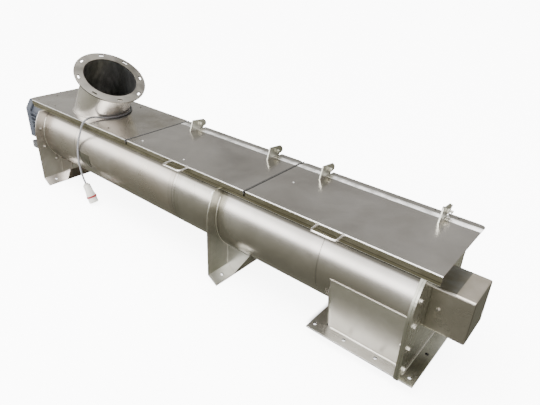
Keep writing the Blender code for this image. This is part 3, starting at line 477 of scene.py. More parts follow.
def long_scratch(finish, length, height):
    """A slanting scratch on the trough's front, left of the middle support."""
    slope = 0.55
    middle = along(1.5366) + 0.4463 * slope
    slanted = finish.sums(length, finish.times(height, slope))
    scratch = finish.band(slanted, middle - 0.0012, middle + 0.0012, 0.001)
    scratch = finish.times(scratch, finish.band(height, 0.386, 0.450, 0.006))
    finish.cover(scratch, (0.16, 0.15, 0.12), 0.6)


def spigot_place(finish):
    """Coordinates on the leaning spigot's own axes: first, second, distance from its axis, and height."""
    lean = finish.fed("ShaderNodeMapping", finish.place, vector_type="TEXTURE")
    lean.inputs["Location"].default_value = (along(INLET_X), 0, LID_TOP)
    lean.inputs["Rotation"].default_value = (0, INCLINE, 0)
    first, second, rise = finish.parts(lean.outputs["Vector"])
    return first, second, finish.reach(first, second), rise


def spigot_rounding(finish):
    """The spigot's true round normal, outside."""
    first, second, out, _ = spigot_place(finish)
    outside = finish.spread(out, SPIGOT_RADIUS - 0.0011, SPIGOT_RADIUS - 0.0008)
    across = finish.times(first, math.cos(INCLINE))
    drop = finish.times(first, -math.sin(INCLINE))
    finish.exact_normal(outside, across, second, drop)


def spigot_steel(name):
    """The leaning spigot: bright brushed outside, and inside dull and darkened with painted shade."""
    finish = sheet(name, (60, 60, 3), (0.88, 0.845, 0.80), (0.74, 0.705, 0.66), 0.28, waves=0.002,
                   rounding=spigot_rounding)
    shaded_inside = finish.fall(spigot_place(finish)[2], SPIGOT_RADIUS - 0.0022, SPIGOT_RADIUS - 0.0012)
    streaks = finish.spread(finish.noise(5, (6, 6, 0.6)), 0.45, 0.75)
    # The inside's dark tones are painted shade.
    finish.cover(shaded_inside, finish.mix(streaks, (0.17, 0.17, 0.168), (0.30, 0.30, 0.30)))
    finish.roughen(shaded_inside, 0.16)
    return finish.metal()


def flange_steel(name):
    """The inlet flange: mottled and dull, with painted shade on the walls of its slots."""
    finish = sheet(name, (12, 12, 12), (0.185, 0.174, 0.155), (0.085, 0.079, 0.067), 0.36, edge=0.0025)
    out, rise = spigot_place(finish)[2:]
    # Painted shade on the slots' walls.
    slot_shade = finish.band(rise, SPIGOT_RISE - INLET_FLANGE_THICK + 0.0012, SPIGOT_RISE - 0.0012, 0.0003)
    slot_shade = finish.times(slot_shade, finish.band(out, SPIGOT_RADIUS + 0.008, SPIGOT_RADIUS + 0.046, 0.001))
    finish.cover(slot_shade, (0.010, 0.009, 0.008))
    finish.roughen(slot_shade, 0.3)
    return finish.metal()


def chute_steel(name):
    """The chute's sheet, darker and duller towards its foot."""
    finish = sheet(name, UPRIGHT, (0.70, 0.68, 0.615), (0.56, 0.54, 0.475), 0.40, edge=0.0025)
    finish.cover(finish.spread(finish.axis("Z"), 0.06, 0.30, 0.78, 0.0), (0.25, 0.24, 0.215))
    return finish.metal()


def strip_steel(name):
    """The strips along the slot: olive and dull, with a painted highlight along the lower edge of their lips.
    """
    finish = sheet(name, LENGTHWAYS, (0.40, 0.37, 0.27), (0.26, 0.235, 0.16), 0.34)
    # Painted highlight along the lips' lower edge, fainter before the middle support.
    rim = finish.fall(finish.axis("Z"), LID_TOP - 0.0450, LID_TOP - 0.0430)
    start = along(MID_SUPPORT_X)
    rim = finish.times(rim, finish.spread(finish.axis("X"), start, start + 0.05, 0.35, 1.0))
    finish.cover(rim, (0.95, 0.94, 0.91))
    return finish.metal()


def holed_steel(name, holes, *look, **more):
    """Sheet with painted shade on the walls of its holes."""
    finish = sheet(name, *look, **more)
    for shaded_hole, radius in holes:
        # Painted shade in each hole.
        finish.cover(finish.spot(shaded_hole, radius, 0.93), (0.02, 0.018, 0.015))
    return finish.metal()


def guard_steel(name):
    """The guard's sheet: top painted pale as if lit, dark in the lid's painted shadow, stain and painted
    shade by the end plate, dark at its end.
    """
    finish = sheet(name, CROSSWAYS, (0.60, 0.56, 0.51), (0.46, 0.43, 0.385), 0.30, scratches=0.015)
    height, length = finish.axis("Z"), finish.axis("X")
    blots = finish.spread(finish.noise(12, EVEN, 4, 0.55), 0.3, 0.7)
    # The top painted pale where light falls, and dark in the painted shadow of the lid's end.
    top = finish.spread(height, GUARD_TOP - 0.0035, GUARD_TOP - 0.0020)
    finish.cover(top, finish.mix(blots, (0.56, 0.50, 0.41), (0.72, 0.655, 0.56)))
    shaded = finish.times(top, finish.fall(length, along(2.8145), along(2.8185)))
    finish.cover(shaded, finish.mix(blots, (0.22, 0.20, 0.15), (0.31, 0.31, 0.30)))
    # Darker near the end plate and under the top edge: stain and painted shade.
    plate_stain_and_shade = finish.times(finish.spread(length, along(2.738), along(2.80), 0.75, 0.0),
                        finish.fall(height, GUARD_TOP - 0.012, GUARD_TOP - 0.003))
    finish.cover(plate_stain_and_shade, finish.mix(blots, (0.24, 0.22, 0.155), (0.36, 0.34, 0.28)))
    end = finish.spread(length, along(GUARD_END) - 0.0030, along(GUARD_END) - 0.0010)
    finish.cover(end, (0.15, 0.14, 0.105), 0.85)
    return finish.metal()


def paint(name, colour, gloss=0.5):
    """Paint with cloudy tones, dusty patches and a fine grain."""
    finish = Finish(name)
    finish.shader.inputs["Specular IOR Level"].default_value = 0.32
    finish.soft_edges(0.0015)
    clouds = finish.noise(9, detail=4)
    light = tuple(min(1.0, part * 1.25 + 0.01) for part in colour)
    dusty = tuple(part * 0.6 + 0.06 for part in colour)
    finish.tone = finish.mix(finish.spread(clouds, 0.3, 0.7), colour, light)
    finish.cover(finish.spread(finish.noise(30, detail=5), 0.55, 0.8, 0.0, 0.3), dusty)
    finish.bump(finish.noise(420, detail=2), 0.15, 0.0003)
    return finish.done(finish.spread(clouds, 0.3, 0.7, gloss - 0.06, gloss + 0.08), 0.0)


def plastic(name, colour, gloss=0.5):
    """Plastic or rubber with a fine grain and dusty clouds."""
    finish = Finish(name)
    clouds = finish.noise(25, detail=4)
    dusty = tuple(part * 0.88 for part in colour)
    finish.tone = finish.mix(finish.spread(clouds, 0.4, 0.7), colour, dusty)
    finish.bump(finish.noise(900, detail=2), 0.1, 0.0002)
    return finish.done(finish.spread(clouds, 0.3, 0.7, gloss - 0.05, gloss + 0.08), 0.0)


# Building pieces


def new_object(name, form):
    """A new object in the scene from a bmesh."""
    mesh = bpy.data.meshes.new(name)
    form.to_mesh(mesh)
    form.free()
    made = bpy.data.objects.new(name, mesh)
    bpy.context.scene.collection.objects.link(made)
    return made


def piece(name, form, finish, body="frame", smooth=35):
    """A new piece from a bmesh, riding on a body, with edges sharp above an angle in degrees."""
    bmesh.ops.recalc_face_normals(form, faces=form.faces)
    made = new_object(name, form)
    made.data.shade_smooth()
    made.data.set_sharp_from_angle(angle=math.radians(smooth))
    made.data.materials.append(finish)
    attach(made, body)
    return made


def around(radius, angle, height):
    """A place on a circle round the local Z."""
    return Vector((radius * math.cos(angle), radius * math.sin(angle), height))


def facing(place, axis):
    """Axes at a place, with Z along the axis."""
    return Matrix.Translation(place) @ Vector(axis).to_track_quat("Z", "Y").to_matrix().to_4x4()


def turned(form, profile, frame_of, steps=24, phase=0.0):
    """Adds a turned form: profile is pairs of radius and height along the local Z, from axis to axis."""
    rows = []
    for radius, height in profile:
        if radius == 0:
            rows.append([form.verts.new(frame_of @ Vector((0, 0, height)))])
            continue
        row = []
        for i in range(steps):
            angle = 2 * math.pi * (i + phase) / steps
            row.append(form.verts.new(frame_of @ around(radius, angle, height)))
        rows.append(row)
    for low, high in zip(rows, rows[1:]):
        for i in range(steps):
            j = (i + 1) % steps
            if len(low) == 1 and len(high) == 1:
                continue
            if len(low) == 1:
                form.faces.new((low[0], high[i], high[j]))
            elif len(high) == 1:
                form.faces.new((low[i], low[j], high[0]))
            else:
                form.faces.new((low[i], low[j], high[j], high[i]))


def add_bolt(form, place, axis, across=0.019, head=0.0075, washer=0.0016, stub=0.0):
    """A hexagon head or nut on its washer, with the thread standing out of it if it has a stub."""
    axes = facing(place, axis)
    radius = across / 2 / math.cos(math.pi / 6)
    turned(form, [(0, 0), (radius * 1.2, 0), (radius * 1.2, washer), (0, washer)], axes, 24)
    top = washer + head
    turn = random.random()
    turned(form, [(0, washer), (radius, washer), (radius, top - 0.001), (radius * 0.88, top), (0, top)],
           axes, 6, turn)
    if stub:
        thread = radius * 0.52
        turned(form, [(0, top), (thread, top), (thread, top + stub - 0.001), (thread * 0.8, top + stub),
                      (0, top + stub)], axes, 16)


def bolts(name, places, axis, finish, body="frame", **sizes):
    """One piece of alike bolts, all facing along an axis."""
    form = bmesh.new()
    for place in places:
        add_bolt(form, place, axis, **sizes)
    return piece(name, form, finish, body)


def sweep(form, points, radius, ripple=0.0, sides=8, closed=False):
    """A round bar along points. A ripple makes it a weld bead."""
    rows = []
    count = len(points)
    side = None
    for i, point in enumerate(points):
        before = points[i - 1] if i or closed else point
        after = points[(i + 1) % count] if i + 1 < count or closed else point
        heading = (after - before).normalized()
        if side is None:
            side = heading.orthogonal().normalized()
        side = (side - heading * side.dot(heading)).normalized()
        other = heading.cross(side)
        size = radius * (1 + ripple * math.sin(i * 2.1) + ripple * 0.6 * (random.random() - 0.5))
        row = []
        for k in range(sides):
            angle = 2 * math.pi * k / sides
            row.append(form.verts.new(point + (side * math.cos(angle) + other * math.sin(angle)) * size))
        rows.append(row)
    pairs = list(zip(rows, rows[1:]))
    if closed:
        pairs.append((rows[-1], rows[0]))
    for low, high in pairs:
        for k in range(sides):
            m = (k + 1) % sides
            form.faces.new((low[k], low[m], high[m], high[k]))
    if not closed:
        form.faces.new(list(reversed(rows[0])))
        form.faces.new(rows[-1])


def line(start, end, step=0.003):
    """Points on a straight line."""
    start, end = Vector(start), Vector(end)
    count = max(2, round((end - start).length / step))
    return [start.lerp(end, i / count) for i in range(count + 1)]


def at(place_x, spots):
    """Places at one X, from pairs of Y and Z."""
    return [Vector((along(place_x), y, z)) for y, z in spots]


def on_ring(place_x, radius, angle):
    """A place round the trough's axis, with the angle from +Y."""
    return Vector((along(place_x), radius * math.cos(angle), AXIS_Z + radius * math.sin(angle)))


def ring(place_x, radius, start, end, step=0.003):
    """Points round the trough's axis, with angles in degrees from +Y."""
    count = max(8, round(radius * math.radians(end - start) / step))
    angles = [math.radians(start + (end - start) * i / count) for i in range(count + 1)]
    return [on_ring(place_x, radius, angle) for angle in angles]


# The cord


def cord_route():
    """The cord's own points: up from the gland, over the cover, round the spigot and down over the front."""
    z = COVER_CORD_Z
    down = (PLUG_END - PLUG_TOP).normalized()
    up_behind = [(-0.140, 0.1645, 0.434), (-0.136, 0.168, 0.4515), (-0.1275, 0.175, 0.467),
                 (-0.116, 0.186, 0.478), (-0.100, 0.199, 0.4845), (-0.0565, 0.2285, 0.490),
                 (0.005, 0.255, 0.500), (0.055, 0.268, 0.522)]
    over_the_cover = [(0.100, 0.266, z + 0.001), (0.145, 0.249, z + 0.012), (0.190, 0.225, z + 0.008),
                      (0.240, 0.206, z + 0.001), (0.300, 0.196, z), (0.380, 0.186, z), (0.470, 0.176, z),
                      (0.560, 0.158, z), (0.628, 0.114, z), (0.668, 0.055, z), (0.6785, -0.005, z),
                      (0.664, -0.062, z), (0.638, -0.104, z + 0.003), (0.622, -0.137, z + 0.0095),
                      (0.6215, -0.170, z + 0.012)]
    down_the_front = [(0.623, -0.1955, z + 0.0065), (0.618, -0.215, z - 0.0095), (0.610, -0.225, z - 0.035),
                      (0.596, -0.228, 0.478), (0.572, -0.229, 0.436), (0.548, -0.2295, 0.388),
                      (0.533, -0.2295, 0.335), (0.527, -0.2295, 0.286), (0.529, -0.2295, 0.241),
                      (0.538, -0.2295, 0.198)]
    route = [Vector((along(x), y, height)) for x, y, height in up_behind + over_the_cover + down_the_front]
    top = GLAND_BASE + Vector((0, 0, GLAND_LENGTH + TOUCH))
    return [top, *route, PLUG_TOP - down * 0.026, PLUG_TOP - down * TOUCH]


def smooth(points, steps=6):
    """Points on a smooth curve through the given ones, straight in its first and last stretches."""
    fine = [points[0]]
    for a, b, c, d in zip(points, points[1:], points[2:], points[3:]):
        for i in range(steps):
            t = i / steps
            fine.append(0.5 * (2 * b + (c - a) * t + (2 * a - 5 * b + 4 * c - d) * t ** 2
                               + (3 * b - a - 3 * c + d) * t ** 3))
    return [*fine, points[-2], points[-1]]


def make_cord():
    """The supply cord, with its gland and plug."""
    points = smooth(cord_route())
    curve = bpy.data.curves.new("supply_cord", "CURVE")
    curve.dimensions = "3D"
    curve.bevel_depth = CORD_RADIUS
    curve.bevel_resolution = 4
    curve.use_fill_caps = True
    spline = curve.splines.new("POLY")
    spline.points.add(len(points) - 1)
    spline.use_smooth = True
    for knot, point in zip(spline.points, points):
        knot.co = (*point, 1)
    cord = bpy.data.objects.new("supply_cord", curve)
    bpy.context.scene.collection.objects.link(cord)
    curve.materials.append(plastic("cord_sheath", (0.085, 0.085, 0.088)))
    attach(cord, "frame")
    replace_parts(cord, "mains_cord")
    with_cord = [make_gland(), make_relief(), make_plug(), make_pins(), nodes["plug_ring"]]


def make_gland():
    """The gland: a hexagon body and its domed nut."""
    form = bmesh.new()
    axes = facing(GLAND_BASE, (0, 0, 1))
    turned(form, [(0, 0), (0.0128, 0), (0.0128, 0.008), (0.0118, 0.0085), (0, 0.0085)], axes, 6)
    turned(form, [(0, 0.0085), (0.0116, 0.0085), (0.0116, 0.018), (0.0105, 0.022), (0.0085, 0.0262),
                  (0.0085, GLAND_LENGTH), (0, GLAND_LENGTH)], axes)
    gland = piece("gland", form, plastic("gland_plastic", (0.05, 0.05, 0.055)))
    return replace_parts(gland, "cable_gland")


def make_relief():
    """The ribbed sleeve round the cord where it leaves the gland."""
    start = GLAND_BASE + Vector((0, 0, GLAND_LENGTH + TOUCH))
    form = bmesh.new()
    profile = [(CORD_RADIUS + 0.0002, 0), (0.0085, 0)]
    for i in range(6):
        height = 0.0015 + i * 0.0033
        radius = 0.0084 - i * 0.0003
        profile += [(radius, height), (radius, height + 0.0015), (radius - 0.0010, height + 0.0018)]
    profile += [(0.0064, 0.0215), (CORD_RADIUS + 0.0002, 0.0215)]
    turned(form, profile, facing(start, (0, 0, 1)), 20)
    return piece("gland_sleeve", form, plastic("gland_rubber", (0.04, 0.04, 0.04), 0.6))


def plug_axes():
    """Axes at the plug's end, with Z towards its cord."""
    return facing(PLUG_END, PLUG_TOP - PLUG_END)


def make_plug():
    """The plug's housing: cord nut, ribbed grip, shoulder and a hollow collar."""
    length = (PLUG_TOP - PLUG_END).length
    profile = [(0, 0.036), (0.0262, 0.036), (0.0262, 0.001), (0.0275, 0), (0.0285, 0.001), (0.0285, 0.052),
               (0.0272, 0.056), (0.0245, length - 0.060), (0.0240, length - 0.056), (0.0222, length - 0.014),
               (0.0212, length - 0.010), (0.0150, length - 0.008), (0.0140, length - 0.003), (0.0115, length),
               (0, length)]
    form = bmesh.new()
    turned(form, profile, plug_axes(), 48)
    axes = plug_axes().inverted()
    for vert in form.verts:
        local = axes @ vert.co
        if 0.058 < local.z < length - 0.012:
            angle = math.atan2(local.y, local.x)
            shrink = 1 - 0.06 * (math.cos(angle * 12) > 0.2)
            vert.co = plug_axes() @ Vector((local.x * shrink, local.y * shrink, local.z))
    plug = piece("plug_housing", form, plastic("plug_plastic", (0.36, 0.35, 0.32), 0.45), smooth=25)
    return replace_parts(plug, "mains_plug")


def make_pins():
    """The plug's five pins, with the thicker earth pin first."""
    form = bmesh.new()
    for i in range(5):
        angle = math.radians(90 + 72 * i)
        radius = 0.0030 if i == 0 else 0.0025
        turned(form, [(0, 0), (radius, 0), (radius, 0.030), (radius * 0.6, 0.032), (0, 0.032)],
               facing(plug_axes() @ around(0.0155, angle, 0.0358), PLUG_END - PLUG_TOP), 12)
    brass = steel("pin_brass", light=(0.75, 0.62, 0.35), dark=(0.62, 0.5, 0.28), edge=0.0003)
    return piece("plug_pins", form, brass)


# Bolts, screws and small parts


def fasteners():
    """The bolts and nuts of the supports, end plates and guard, and the cover's screws."""
    bright = bead_steel("bolt_steel", (0.56, 0.54, 0.49), (0.36, 0.34, 0.30), 0.33, 0.0002, 0.0006)
    circle = []
    for angle in (168, 197, 226, 256, 284, 314, 343, 12):
        circle.append(on_ring(INLET_SUPPORT_X, NUT_CIRCLE, math.radians(angle)).yz)
    bolts("inlet_support_nuts", at(INLET_SUPPORT_X + PLATE, circle), (1, 0, 0), bright,
          across=0.017, head=0.006, stub=0.005)
    over_lantern = [(y, z) for y, z in circle if z > AXIS_Z - 0.15]
    bolts("drive_plate_heads", at(INLET_SUPPORT_X - 0.0083, over_lantern), (-1, 0, 0), bright)
    edge = ((0.208, -0.134), (0.213, -0.248), (0.219, -0.357), (0.219, -0.466))
    spots = [(side * y, LID_TOP + drop) for y, drop in edge for side in (-1, 1)]
    bolts("end_plate_heads", at(END_PLATE_FACE, spots), (1, 0, 0), bright)
    low_spots = [(y, z) for y, z in spots if abs(y) > 0.21]
    bolts("end_plate_nuts", at(TUBE_END, low_spots), (-1, 0, 0), bright, stub=0.005)
    for name, side in (("front", -1), ("rear", 1)):
        bolts(f"guard_bolt_{name}", at(2.769, [(side * 0.096, LID_TOP - 0.221)]), (0, side, 0), bright,
              across=0.013, head=0.005)
    cover_screws()


def cover_screws():
    """Slotted round heads in the inlet cover."""
    head = [(0, 0), (0.0065, 0), (0.0065, 0.0006), (0.0045, 0.0010), (0.0043, 0.0022), (0.003, 0.0030),
            (0.0012, 0.0030), (0.0010, 0.0012), (0, 0.0012)]
    form = bmesh.new()
    for x, y in ((0.031, -0.170), (0.035, -0.044), (-0.013, 0.088), (0.218, -0.164), (0.793, -0.161),
                 (0.611, 0.1996), (0.02, 0.185), (0.30, 0.232), (0.93, 0.19)):
        turned(form, head, facing(Vector((along(x), y, LID_TOP)), (0, 0, 1)), 20)
    dark = bead_steel("screw_steel", (0.15, 0.14, 0.12), (0.07, 0.065, 0.055), 0.4, 0.004)
    piece("cover_screws", form, dark)


def drive_details():
    """The cowl's wire grille over a disc of painted shade, and the joint and screws of the connection box's
    cover.
    """
    cowl = facing((along(MOTOR_END), 0, AXIS_Z), (-1, 0, 0))
    form = bmesh.new()
    for i in range(6):
        radius = 0.022 + i * 0.016
        count = round(radius * 900)
        points = [on_ring(MOTOR_END - 0.0012, radius, 2 * math.pi * k / count) for k in range(count)]
        sweep(form, points, 0.0011, closed=True)
    middle = on_ring(MOTOR_END - 0.0014, 0, 0)
    for i in range(4):
        angle = math.radians(45 + 90 * i)
        reach = Vector((0, math.cos(angle), math.sin(angle)))
        sweep(form, line(middle + reach * 0.010, middle + reach * 0.106, 0.02), 0.0014)
    turned(form, [(0, 0), (0.012, 0), (0.012, 0.002), (0, 0.003)], cowl)
    piece("cowl_grille", form, paint("grille_paint", (0.03, 0.034, 0.042)), smooth=60)
    # A dark disc in the cowl's opening: painted shade of the cowl's inside.
    form = bmesh.new()
    turned(form, [(0, 0), (0.106, 0), (0.106, 0.0004), (0, 0.0004)], cowl, 48)
    piece("cowl_opening", form, paint("opening_shade", (0.006, 0.006, 0.007), 0.8))
    form = bmesh.new()
    corners = [(-0.1955, BOX_LOW), (-0.0845, BOX_LOW), (-0.0845, BOX_HIGH), (-0.1955, BOX_HIGH)]
    for first, second in zip(corners, corners[1:] + corners[:1]):
        ends = [(along(x), 0.1830, z) for x, z in (first, second)]
        sweep(form, line(*ends, 0.02), 0.0010)
    piece("box_joint", form, plastic("joint_rubber", (0.02, 0.02, 0.02), 0.6))
    spots = [Vector((along(x), 0.1953, z)) for x in (-0.184, -0.096) for z in (0.286, 0.374)]
    bolts("box_screws", spots, (0, 1, 0), steel("box_screw_steel", EVEN, edge=0.0004),
          across=0.008, head=0.003, washer=0.0008)


def hook():
    """The bent wire clip on the last hinge bolt."""
    shape = [(0.2075, 0.062), (0.199, 0.052), (0.189, 0.040), (0.184, 0.027), (0.190, 0.016), (0.204, 0.012),
             (0.222, 0.014), (0.236, 0.020)]
    form = bmesh.new()
    sweep(form, smooth(at(2.645, [(y, LID_TOP + rise) for y, rise in shape]), 5), 0.0022)
    dark = steel("clip_steel", light=(0.24, 0.23, 0.21), dark=(0.15, 0.15, 0.14), edge=0.0005)
    piece("hinge_clip", form, dark, "end_lid")


def seals():
    """The rubber strips in the seams between the lids, with their ends hanging over both edges."""
    rubber = plastic("seal_rubber", (0.022, 0.021, 0.020), 0.6)
    shape = [(-0.2072, -0.0117), (-0.2072, -0.0052), (-0.2045, -0.0004), (-0.198, 0), (0, -0.0004),
             (0.203, -0.0004), (0.235, -0.0018), (0.249, -0.0032)]
    for number, seam in enumerate((FIRST_SEAM, SECOND_SEAM), 1):
        form = bmesh.new()
        sweep(form, smooth(at(seam, [(y, LID_TOP + rise) for y, rise in shape]), 4), 0.0031)
        piece(f"seam_seal_{number}", form, rubber, smooth=60)


# Weld beads


def weld(name, routes, finish, body="frame", radius=0.0022, ripple=0.12):
    """One piece of alike weld beads."""
    form = bmesh.new()
    for points in routes:
        sweep(form, points, radius, ripple)
    return piece(name, form, finish, body, smooth=60)


def spigot_ring(radius, height, step=0.003):
    """Points round the leaning spigot at a height along its own axis."""
    axes = Matrix.Translation((along(INLET_X), 0, LID_TOP)) @ Matrix.Rotation(INCLINE, 4, "Y")
    count = round(2 * math.pi * radius / step)
    return [axes @ around(radius, 2 * math.pi * i / count, height) for i in range(count)]


def foot_ring(radius, rise, step=0.003):
    """Points on a level oval round the spigot's foot."""
    count = round(2 * math.pi * radius / step)
    points = []
    for i in range(count):
        point = around(radius, 2 * math.pi * i / count, LID_TOP + rise)
        point.x = point.x / math.cos(INCLINE) + rise * math.tan(INCLINE) + along(INLET_X)
        points.append(point)
    return points


def welds():
    """All the weld beads, and the seams of the trough's sections."""
    plain = bead_steel("weld_steel", (0.70, 0.67, 0.63), (0.50, 0.46, 0.42), 0.34)
    # Very pale beads: welds and a bend painted pale as highlights.
    bright = bead_steel("weld_highlight_steel", (0.92, 0.90, 0.84), (0.78, 0.75, 0.68), 0.30, 0.0003)
    dull = bead_steel("dull_weld_steel", (0.40, 0.38, 0.34), (0.26, 0.24, 0.21), 0.38)
    inlet_welds(plain)
    support_welds(plain, bright)
    chute_welds(bright, dull)
    *whole, last = TUBE_SEAMS
    seams = [ring(place_x, TUBE_RADIUS - 0.0004, 158, 382) for place_x in whole]
    seams.append(ring(last, TUBE_RADIUS - 0.0004, 120, 260))
    burnt = bead_steel("seam_steel", (0.17, 0.16, 0.135), (0.10, 0.095, 0.08), 0.42)
    weld("tube_seams", seams, burnt, radius=0.0009)
    lid_welds(dull)


def inlet_welds(plain):
    """The beads at the spigot's foot, round its collar and under its flange."""
    form = bmesh.new()
    sweep(form, foot_ring(SPIGOT_RADIUS + 0.0008, COLLAR_THICK + 0.0005), 0.0022, 0.15, closed=True)
    sweep(form, foot_ring(COLLAR_RADIUS, 0.0014), 0.0022, 0.10, closed=True)
    under = SPIGOT_RISE - INLET_FLANGE_THICK - 0.0008
    sweep(form, spigot_ring(SPIGOT_RADIUS + 0.0008, under), 0.0024, 0.15, closed=True)
    piece("inlet_welds", form, plain, smooth=60)


def support_welds(plain, bright):
    """The beads round the supports and along their gussets."""
    radius = TUBE_RADIUS + 0.0006
    arcs = [ring(start + PLATE + 0.001, radius, 148, 392) for start in (INLET_SUPPORT_X, MID_SUPPORT_X)]
    # The arcs against the tube are painted pale, as highlights on the plates' edges.
    weld("support_arcs", arcs, bright, radius=0.0024, ripple=0.04)
    beads = [ring(MID_SUPPORT_X - 0.001, radius, 148, 392)]
    for start in (INLET_SUPPORT_X, MID_SUPPORT_X):
        x = along(start + PLATE) + 0.001
        for side in (-1, 1):
            for face in (-1, 1):
                y = side * GUSSET_Y + face * (PLATE / 2 + 0.0008)
                beads.append(line((x, y, FOOT_BEND_Z + 0.010), (x, y, 0.150)))
    weld("support_welds", beads, plain)


def chute_welds(bright, dull):
    """The beads at the chute's foot and between chute and trough, and a pale bead on the end plate's foot
    that paints the highlight of its bend.
    """
    upper, foot = [], []
    start, end, top = along(CHUTE_START + 0.03), along(TUBE_END), AXIS_Z - 0.0036
    for side in (-1, 1):
        low = (CHUTE_HALF + 0.0045) * side
        high = (TUBE_RADIUS + 0.0012) * side
        upper.append(line((start, high, top), (end, high, top)))
        foot.append(line((start, low, FRAME_TOP + 0.001), (end - 0.001, low, FRAME_TOP + 0.001)))
    for beads, x, half in ((foot, along(END_PLATE_FACE + 0.0012), 0.2165),
                           (upper, along(CHUTE_START - 0.001), 0.155)):
        beads.append(line((x, -half, FRAME_TOP + 0.001), (x, half, FRAME_TOP + 0.001)))
    upper.append(ring(CHUTE_START - 0.001, TUBE_RADIUS + 0.001, 200, 340))
    # The foot beads are painted pale, as highlights along the feet's bends.
    weld("foot_welds", foot, bright, radius=0.0026, ripple=0.04)
    weld("chute_welds", upper, dull, radius=0.0014)


def lid_welds(dull):
    """The beads at the feet of the lids' lugs and handles."""
    for number, place_x in enumerate(LUG_PLACES, 1):
        lid = "mid_lid" if number < 3 else "end_lid"
        feet = []
        for side in (-1, 1):
            x = along(place_x) + side * 0.0034
            feet.append(line((x, 0.131, LID_TOP + 0.0006), (x, 0.200, LID_TOP + 0.0006)))
        weld(f"lug_weld_{number}", feet, dull, lid, 0.0016)
    collar = [(0, 0), (0.0095, 0), (0.0075, 0.0018), (0.0052, 0.0045), (0, 0.0045)]
    for number, (lid, place_x) in enumerate(zip(("mid_lid", "end_lid"), HANDLE_PLACES), 1):
        form = bmesh.new()
        for side in (-1, 1):
            x = along(place_x) + side * HANDLE_WIDTH / 2
            turned(form, collar, facing((x, -LID_HALF_WIDTH, HANDLE_Z), (0, -1, 0)), 16)
        piece(f"handle_weld_{number}", form, dull, lid, smooth=60)


# The solids' finishes


def foot_holes(start):
    """The places of the bolt holes in a support's foot, with the reach of the painted shade on their walls.
    """
    x = along(start) + 0.036 * math.cos(INCLINE) + 0.003 * math.sin(INCLINE)
    z = FOOT_BEND_Z - 0.036 * math.sin(INCLINE) + 0.003 * math.cos(INCLINE)
    return [((x, side * FOOT_HOLE_Y, z), 0.0092) for side in (-1, 1)]


def frame_holes(spots):
    """The same in the discharge frame or the end plate's foot, from pairs of X and Y."""
    return [((along(x), y, FRAME_BOTTOM + 0.003), FRAME_HOLE_RADIUS) for x, y in spots]


def plate_looks():
    """How the thick plates look: their holes, grain, light and dark colours, and gloss."""
    sides = [(x, side * FOOT_HOLE_Y) for x in (2.313, 2.461, 2.611) for side in (-1, 1)]
    under_chute = frame_holes(sides + [(2.313, -0.050), (2.313, 0.113)])
    under_end = frame_holes([(2.761, y) for y in (-FOOT_HOLE_Y, -0.050, 0.113)])
    plain, green = (UPRIGHT, STEEL_LIGHT, STEEL_DARK), (UPRIGHT, GREEN_LIGHT, GREEN_DARK)
    pale = (UPRIGHT, (0.61, 0.605, 0.59), (0.48, 0.475, 0.46))
    return {"inlet_support": (foot_holes(INLET_SUPPORT_X), *plain, 0.30),
            "mid_support": (foot_holes(MID_SUPPORT_X), *green, 0.30),
            "mid_gusset_front": ((), *pale, 0.30),
            "mid_gusset_rear": ((), *pale, 0.30),
            "outlet_end_plate": (under_end, *green, 0.26),
            "trough_end_flange": ((), *green, 0.30),
            "drive_plate": ((), *plain, 0.30),
            "discharge_frame": (under_chute, LENGTHWAYS, (0.78, 0.765, 0.74), (0.56, 0.54, 0.51), 0.28)}


def finishes():
    """Every solid gets its own finish."""
    blue = (0.016, 0.019, 0.026)
    painted = {"motor": blue, "fan_cowl": blue, "terminal_box": blue, "gearbox": blue,
               "drive_lantern": (0.10, 0.11, 0.13), "torque_stop": (0.03, 0.03, 0.03),
               "end_bearing": (0.09, 0.10, 0.11)}
    plates = plate_looks()
    own = {"trough_tube": trough_steel("trough_finish"),
           "inlet_spigot": spigot_steel("spigot_finish"),
           "inlet_flange": flange_steel("flange_finish"),
           "discharge_chute": chute_steel("chute_finish"),
           "shaft_guard": guard_steel("guard_finish"),
           "plug_ring": plastic("ring_finish", (0.16, 0.003, 0.006)),
           "nameplate": steel("nameplate_finish", LENGTHWAYS, (0.22, 0.21, 0.165), (0.15, 0.145, 0.11), 0.42)}
    for name, node in nodes.items():
        finish_name = name + "_finish"
        if name in own:
            made = own[name]
        elif name in painted:
            made = paint(finish_name, painted[name])
        elif name in ("mid_lid", "end_lid", "inlet_cover"):
            made = lid_steel(finish_name, name != "inlet_cover")
        elif name.startswith("trough_flange"):
            made = strip_steel(finish_name)
        elif name in plates:
            made = holed_steel(finish_name, *plates[name], edge=0.0025)
        elif "lug" in name or "bracket" in name:
            made = steel(finish_name, UPRIGHT, GREEN_LIGHT, GREEN_DARK, 0.30)
        else:
            made = steel(finish_name, edge=0.002)
        node.data.materials.clear()
        node.data.materials.append(made)


# Floor and light


def make_floor():
    """A wide pale floor that glows, painted dark without glow where the object would shade it deeply."""
    form = bmesh.new()
    bmesh.ops.create_grid(form, x_segments=1, y_segments=1, size=40)
    floor = new_object("floor", form)
    floor.location.z = -0.0005
    finish = Finish("floor_finish")
    finish.shader.inputs["Emission Color"].default_value = (1, 1, 1, 1)
    shade = 0
    for low, high, half in FLOOR_SHADOWS:
        patch = finish.times(finish.band(finish.axis("X"), along(low), along(high), 0.012),
                             finish.band(finish.axis("Y"), -half, half, 0.02))
        shade = finish.sums(patch, shade)
    finish.link(finish.spread(shade, 0, 1, FLOOR_GLOW, 0.0), finish.shader.inputs["Emission Strength"])
    finish.tone = finish.mix(shade, (0.95, 0.95, 0.95), (0.05, 0.05, 0.045))
    floor.data.materials.append(finish.done(0.9, 0.0))
    floor.visible_glossy = False


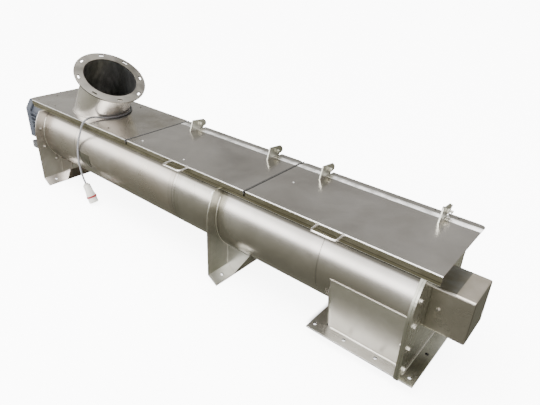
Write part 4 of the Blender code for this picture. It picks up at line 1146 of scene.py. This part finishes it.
def make_light():
    """A hall round the object: a dim floor, paler walls, a bright window front and a ceiling of lamps."""
    world = bpy.data.worlds.new("studio")
    world.use_nodes = True
    bpy.context.scene.world = world
    hall = Nodes(world.node_tree)
    across, depth, height = hall.parts(hall.fed("ShaderNodeTexCoord").outputs["Generated"])
    walls = hall.ramp(height, (
        (-1.0, (0.162, 0.158, 0.120)), (-0.60, (0.262, 0.257, 0.200)), (-0.15, (0.462, 0.455, 0.380)),
        (0.05, (0.620, 0.615, 0.555)), (0.20, (0.485, 0.480, 0.452)), (0.58, (0.465, 0.460, 0.440)),
        (1.0, 0.46)))
    windows = hall.ramp(height, (
        (-1.0, 0), (0.02, 0), (0.12, 1), (0.25, 1), (0.33, 0.48), (0.46, 0.36), (0.60, 0), (1.0, 0)))
    front = hall.ramp(depth, ((-1.0, 7.6), (-0.75, 7.0), (-0.50, 5.8), (-0.10, 0), (1.0, 0)))
    lamps = hall.ramp(height, ((-1.0, 0), (0.58, 0), (0.74, 2.6), (0.86, 7.0), (1.0, 8.0)))
    above = hall.ramp(depth, ((-1.0, 1), (0.15, 1), (0.55, 0.22), (1.0, 0.1)))
    bright = hall.mix(1.0, walls, hall.mix(1.0, windows, front, "MULTIPLY"), "ADD")
    bright = hall.mix(1.0, bright, hall.mix(1.0, lamps, above, "MULTIPLY"), "ADD")
    turn = hall.sums(hall.times(across, -1), depth, "ARCTAN2")
    pillars = hall.ramp(turn, (
        (0, 1.0), (15, 1.12), (25, 0.93), (36, 0.92), (39, 1.04), (42.5, 0.72), (46, 0.85), (47.5, 1.38),
        (49, 1.0), (54, 0.92), (62, 1.15), (80, 1.0)), math.radians(1))
    bright = hall.mix(1.0, bright, pillars, "MULTIPLY")
    hall.link(bright, hall.tree.nodes["Background"].inputs["Color"])
    data = bpy.data.lights.new("lamp", "AREA")
    data.size = 2.5
    data.energy = 240
    place = Vector((-1.4, -1.0, 5.0))
    lamp = bpy.data.objects.new("lamp", data)
    lamp.matrix_world = facing(place, place - Vector((0, 0, 0.4)))
    bpy.context.scene.collection.objects.link(lamp)


random.seed(7)
make_camera()
make_cord()
finishes()
fasteners()
drive_details()
hook()
seals()
welds()
make_floor()
make_light()
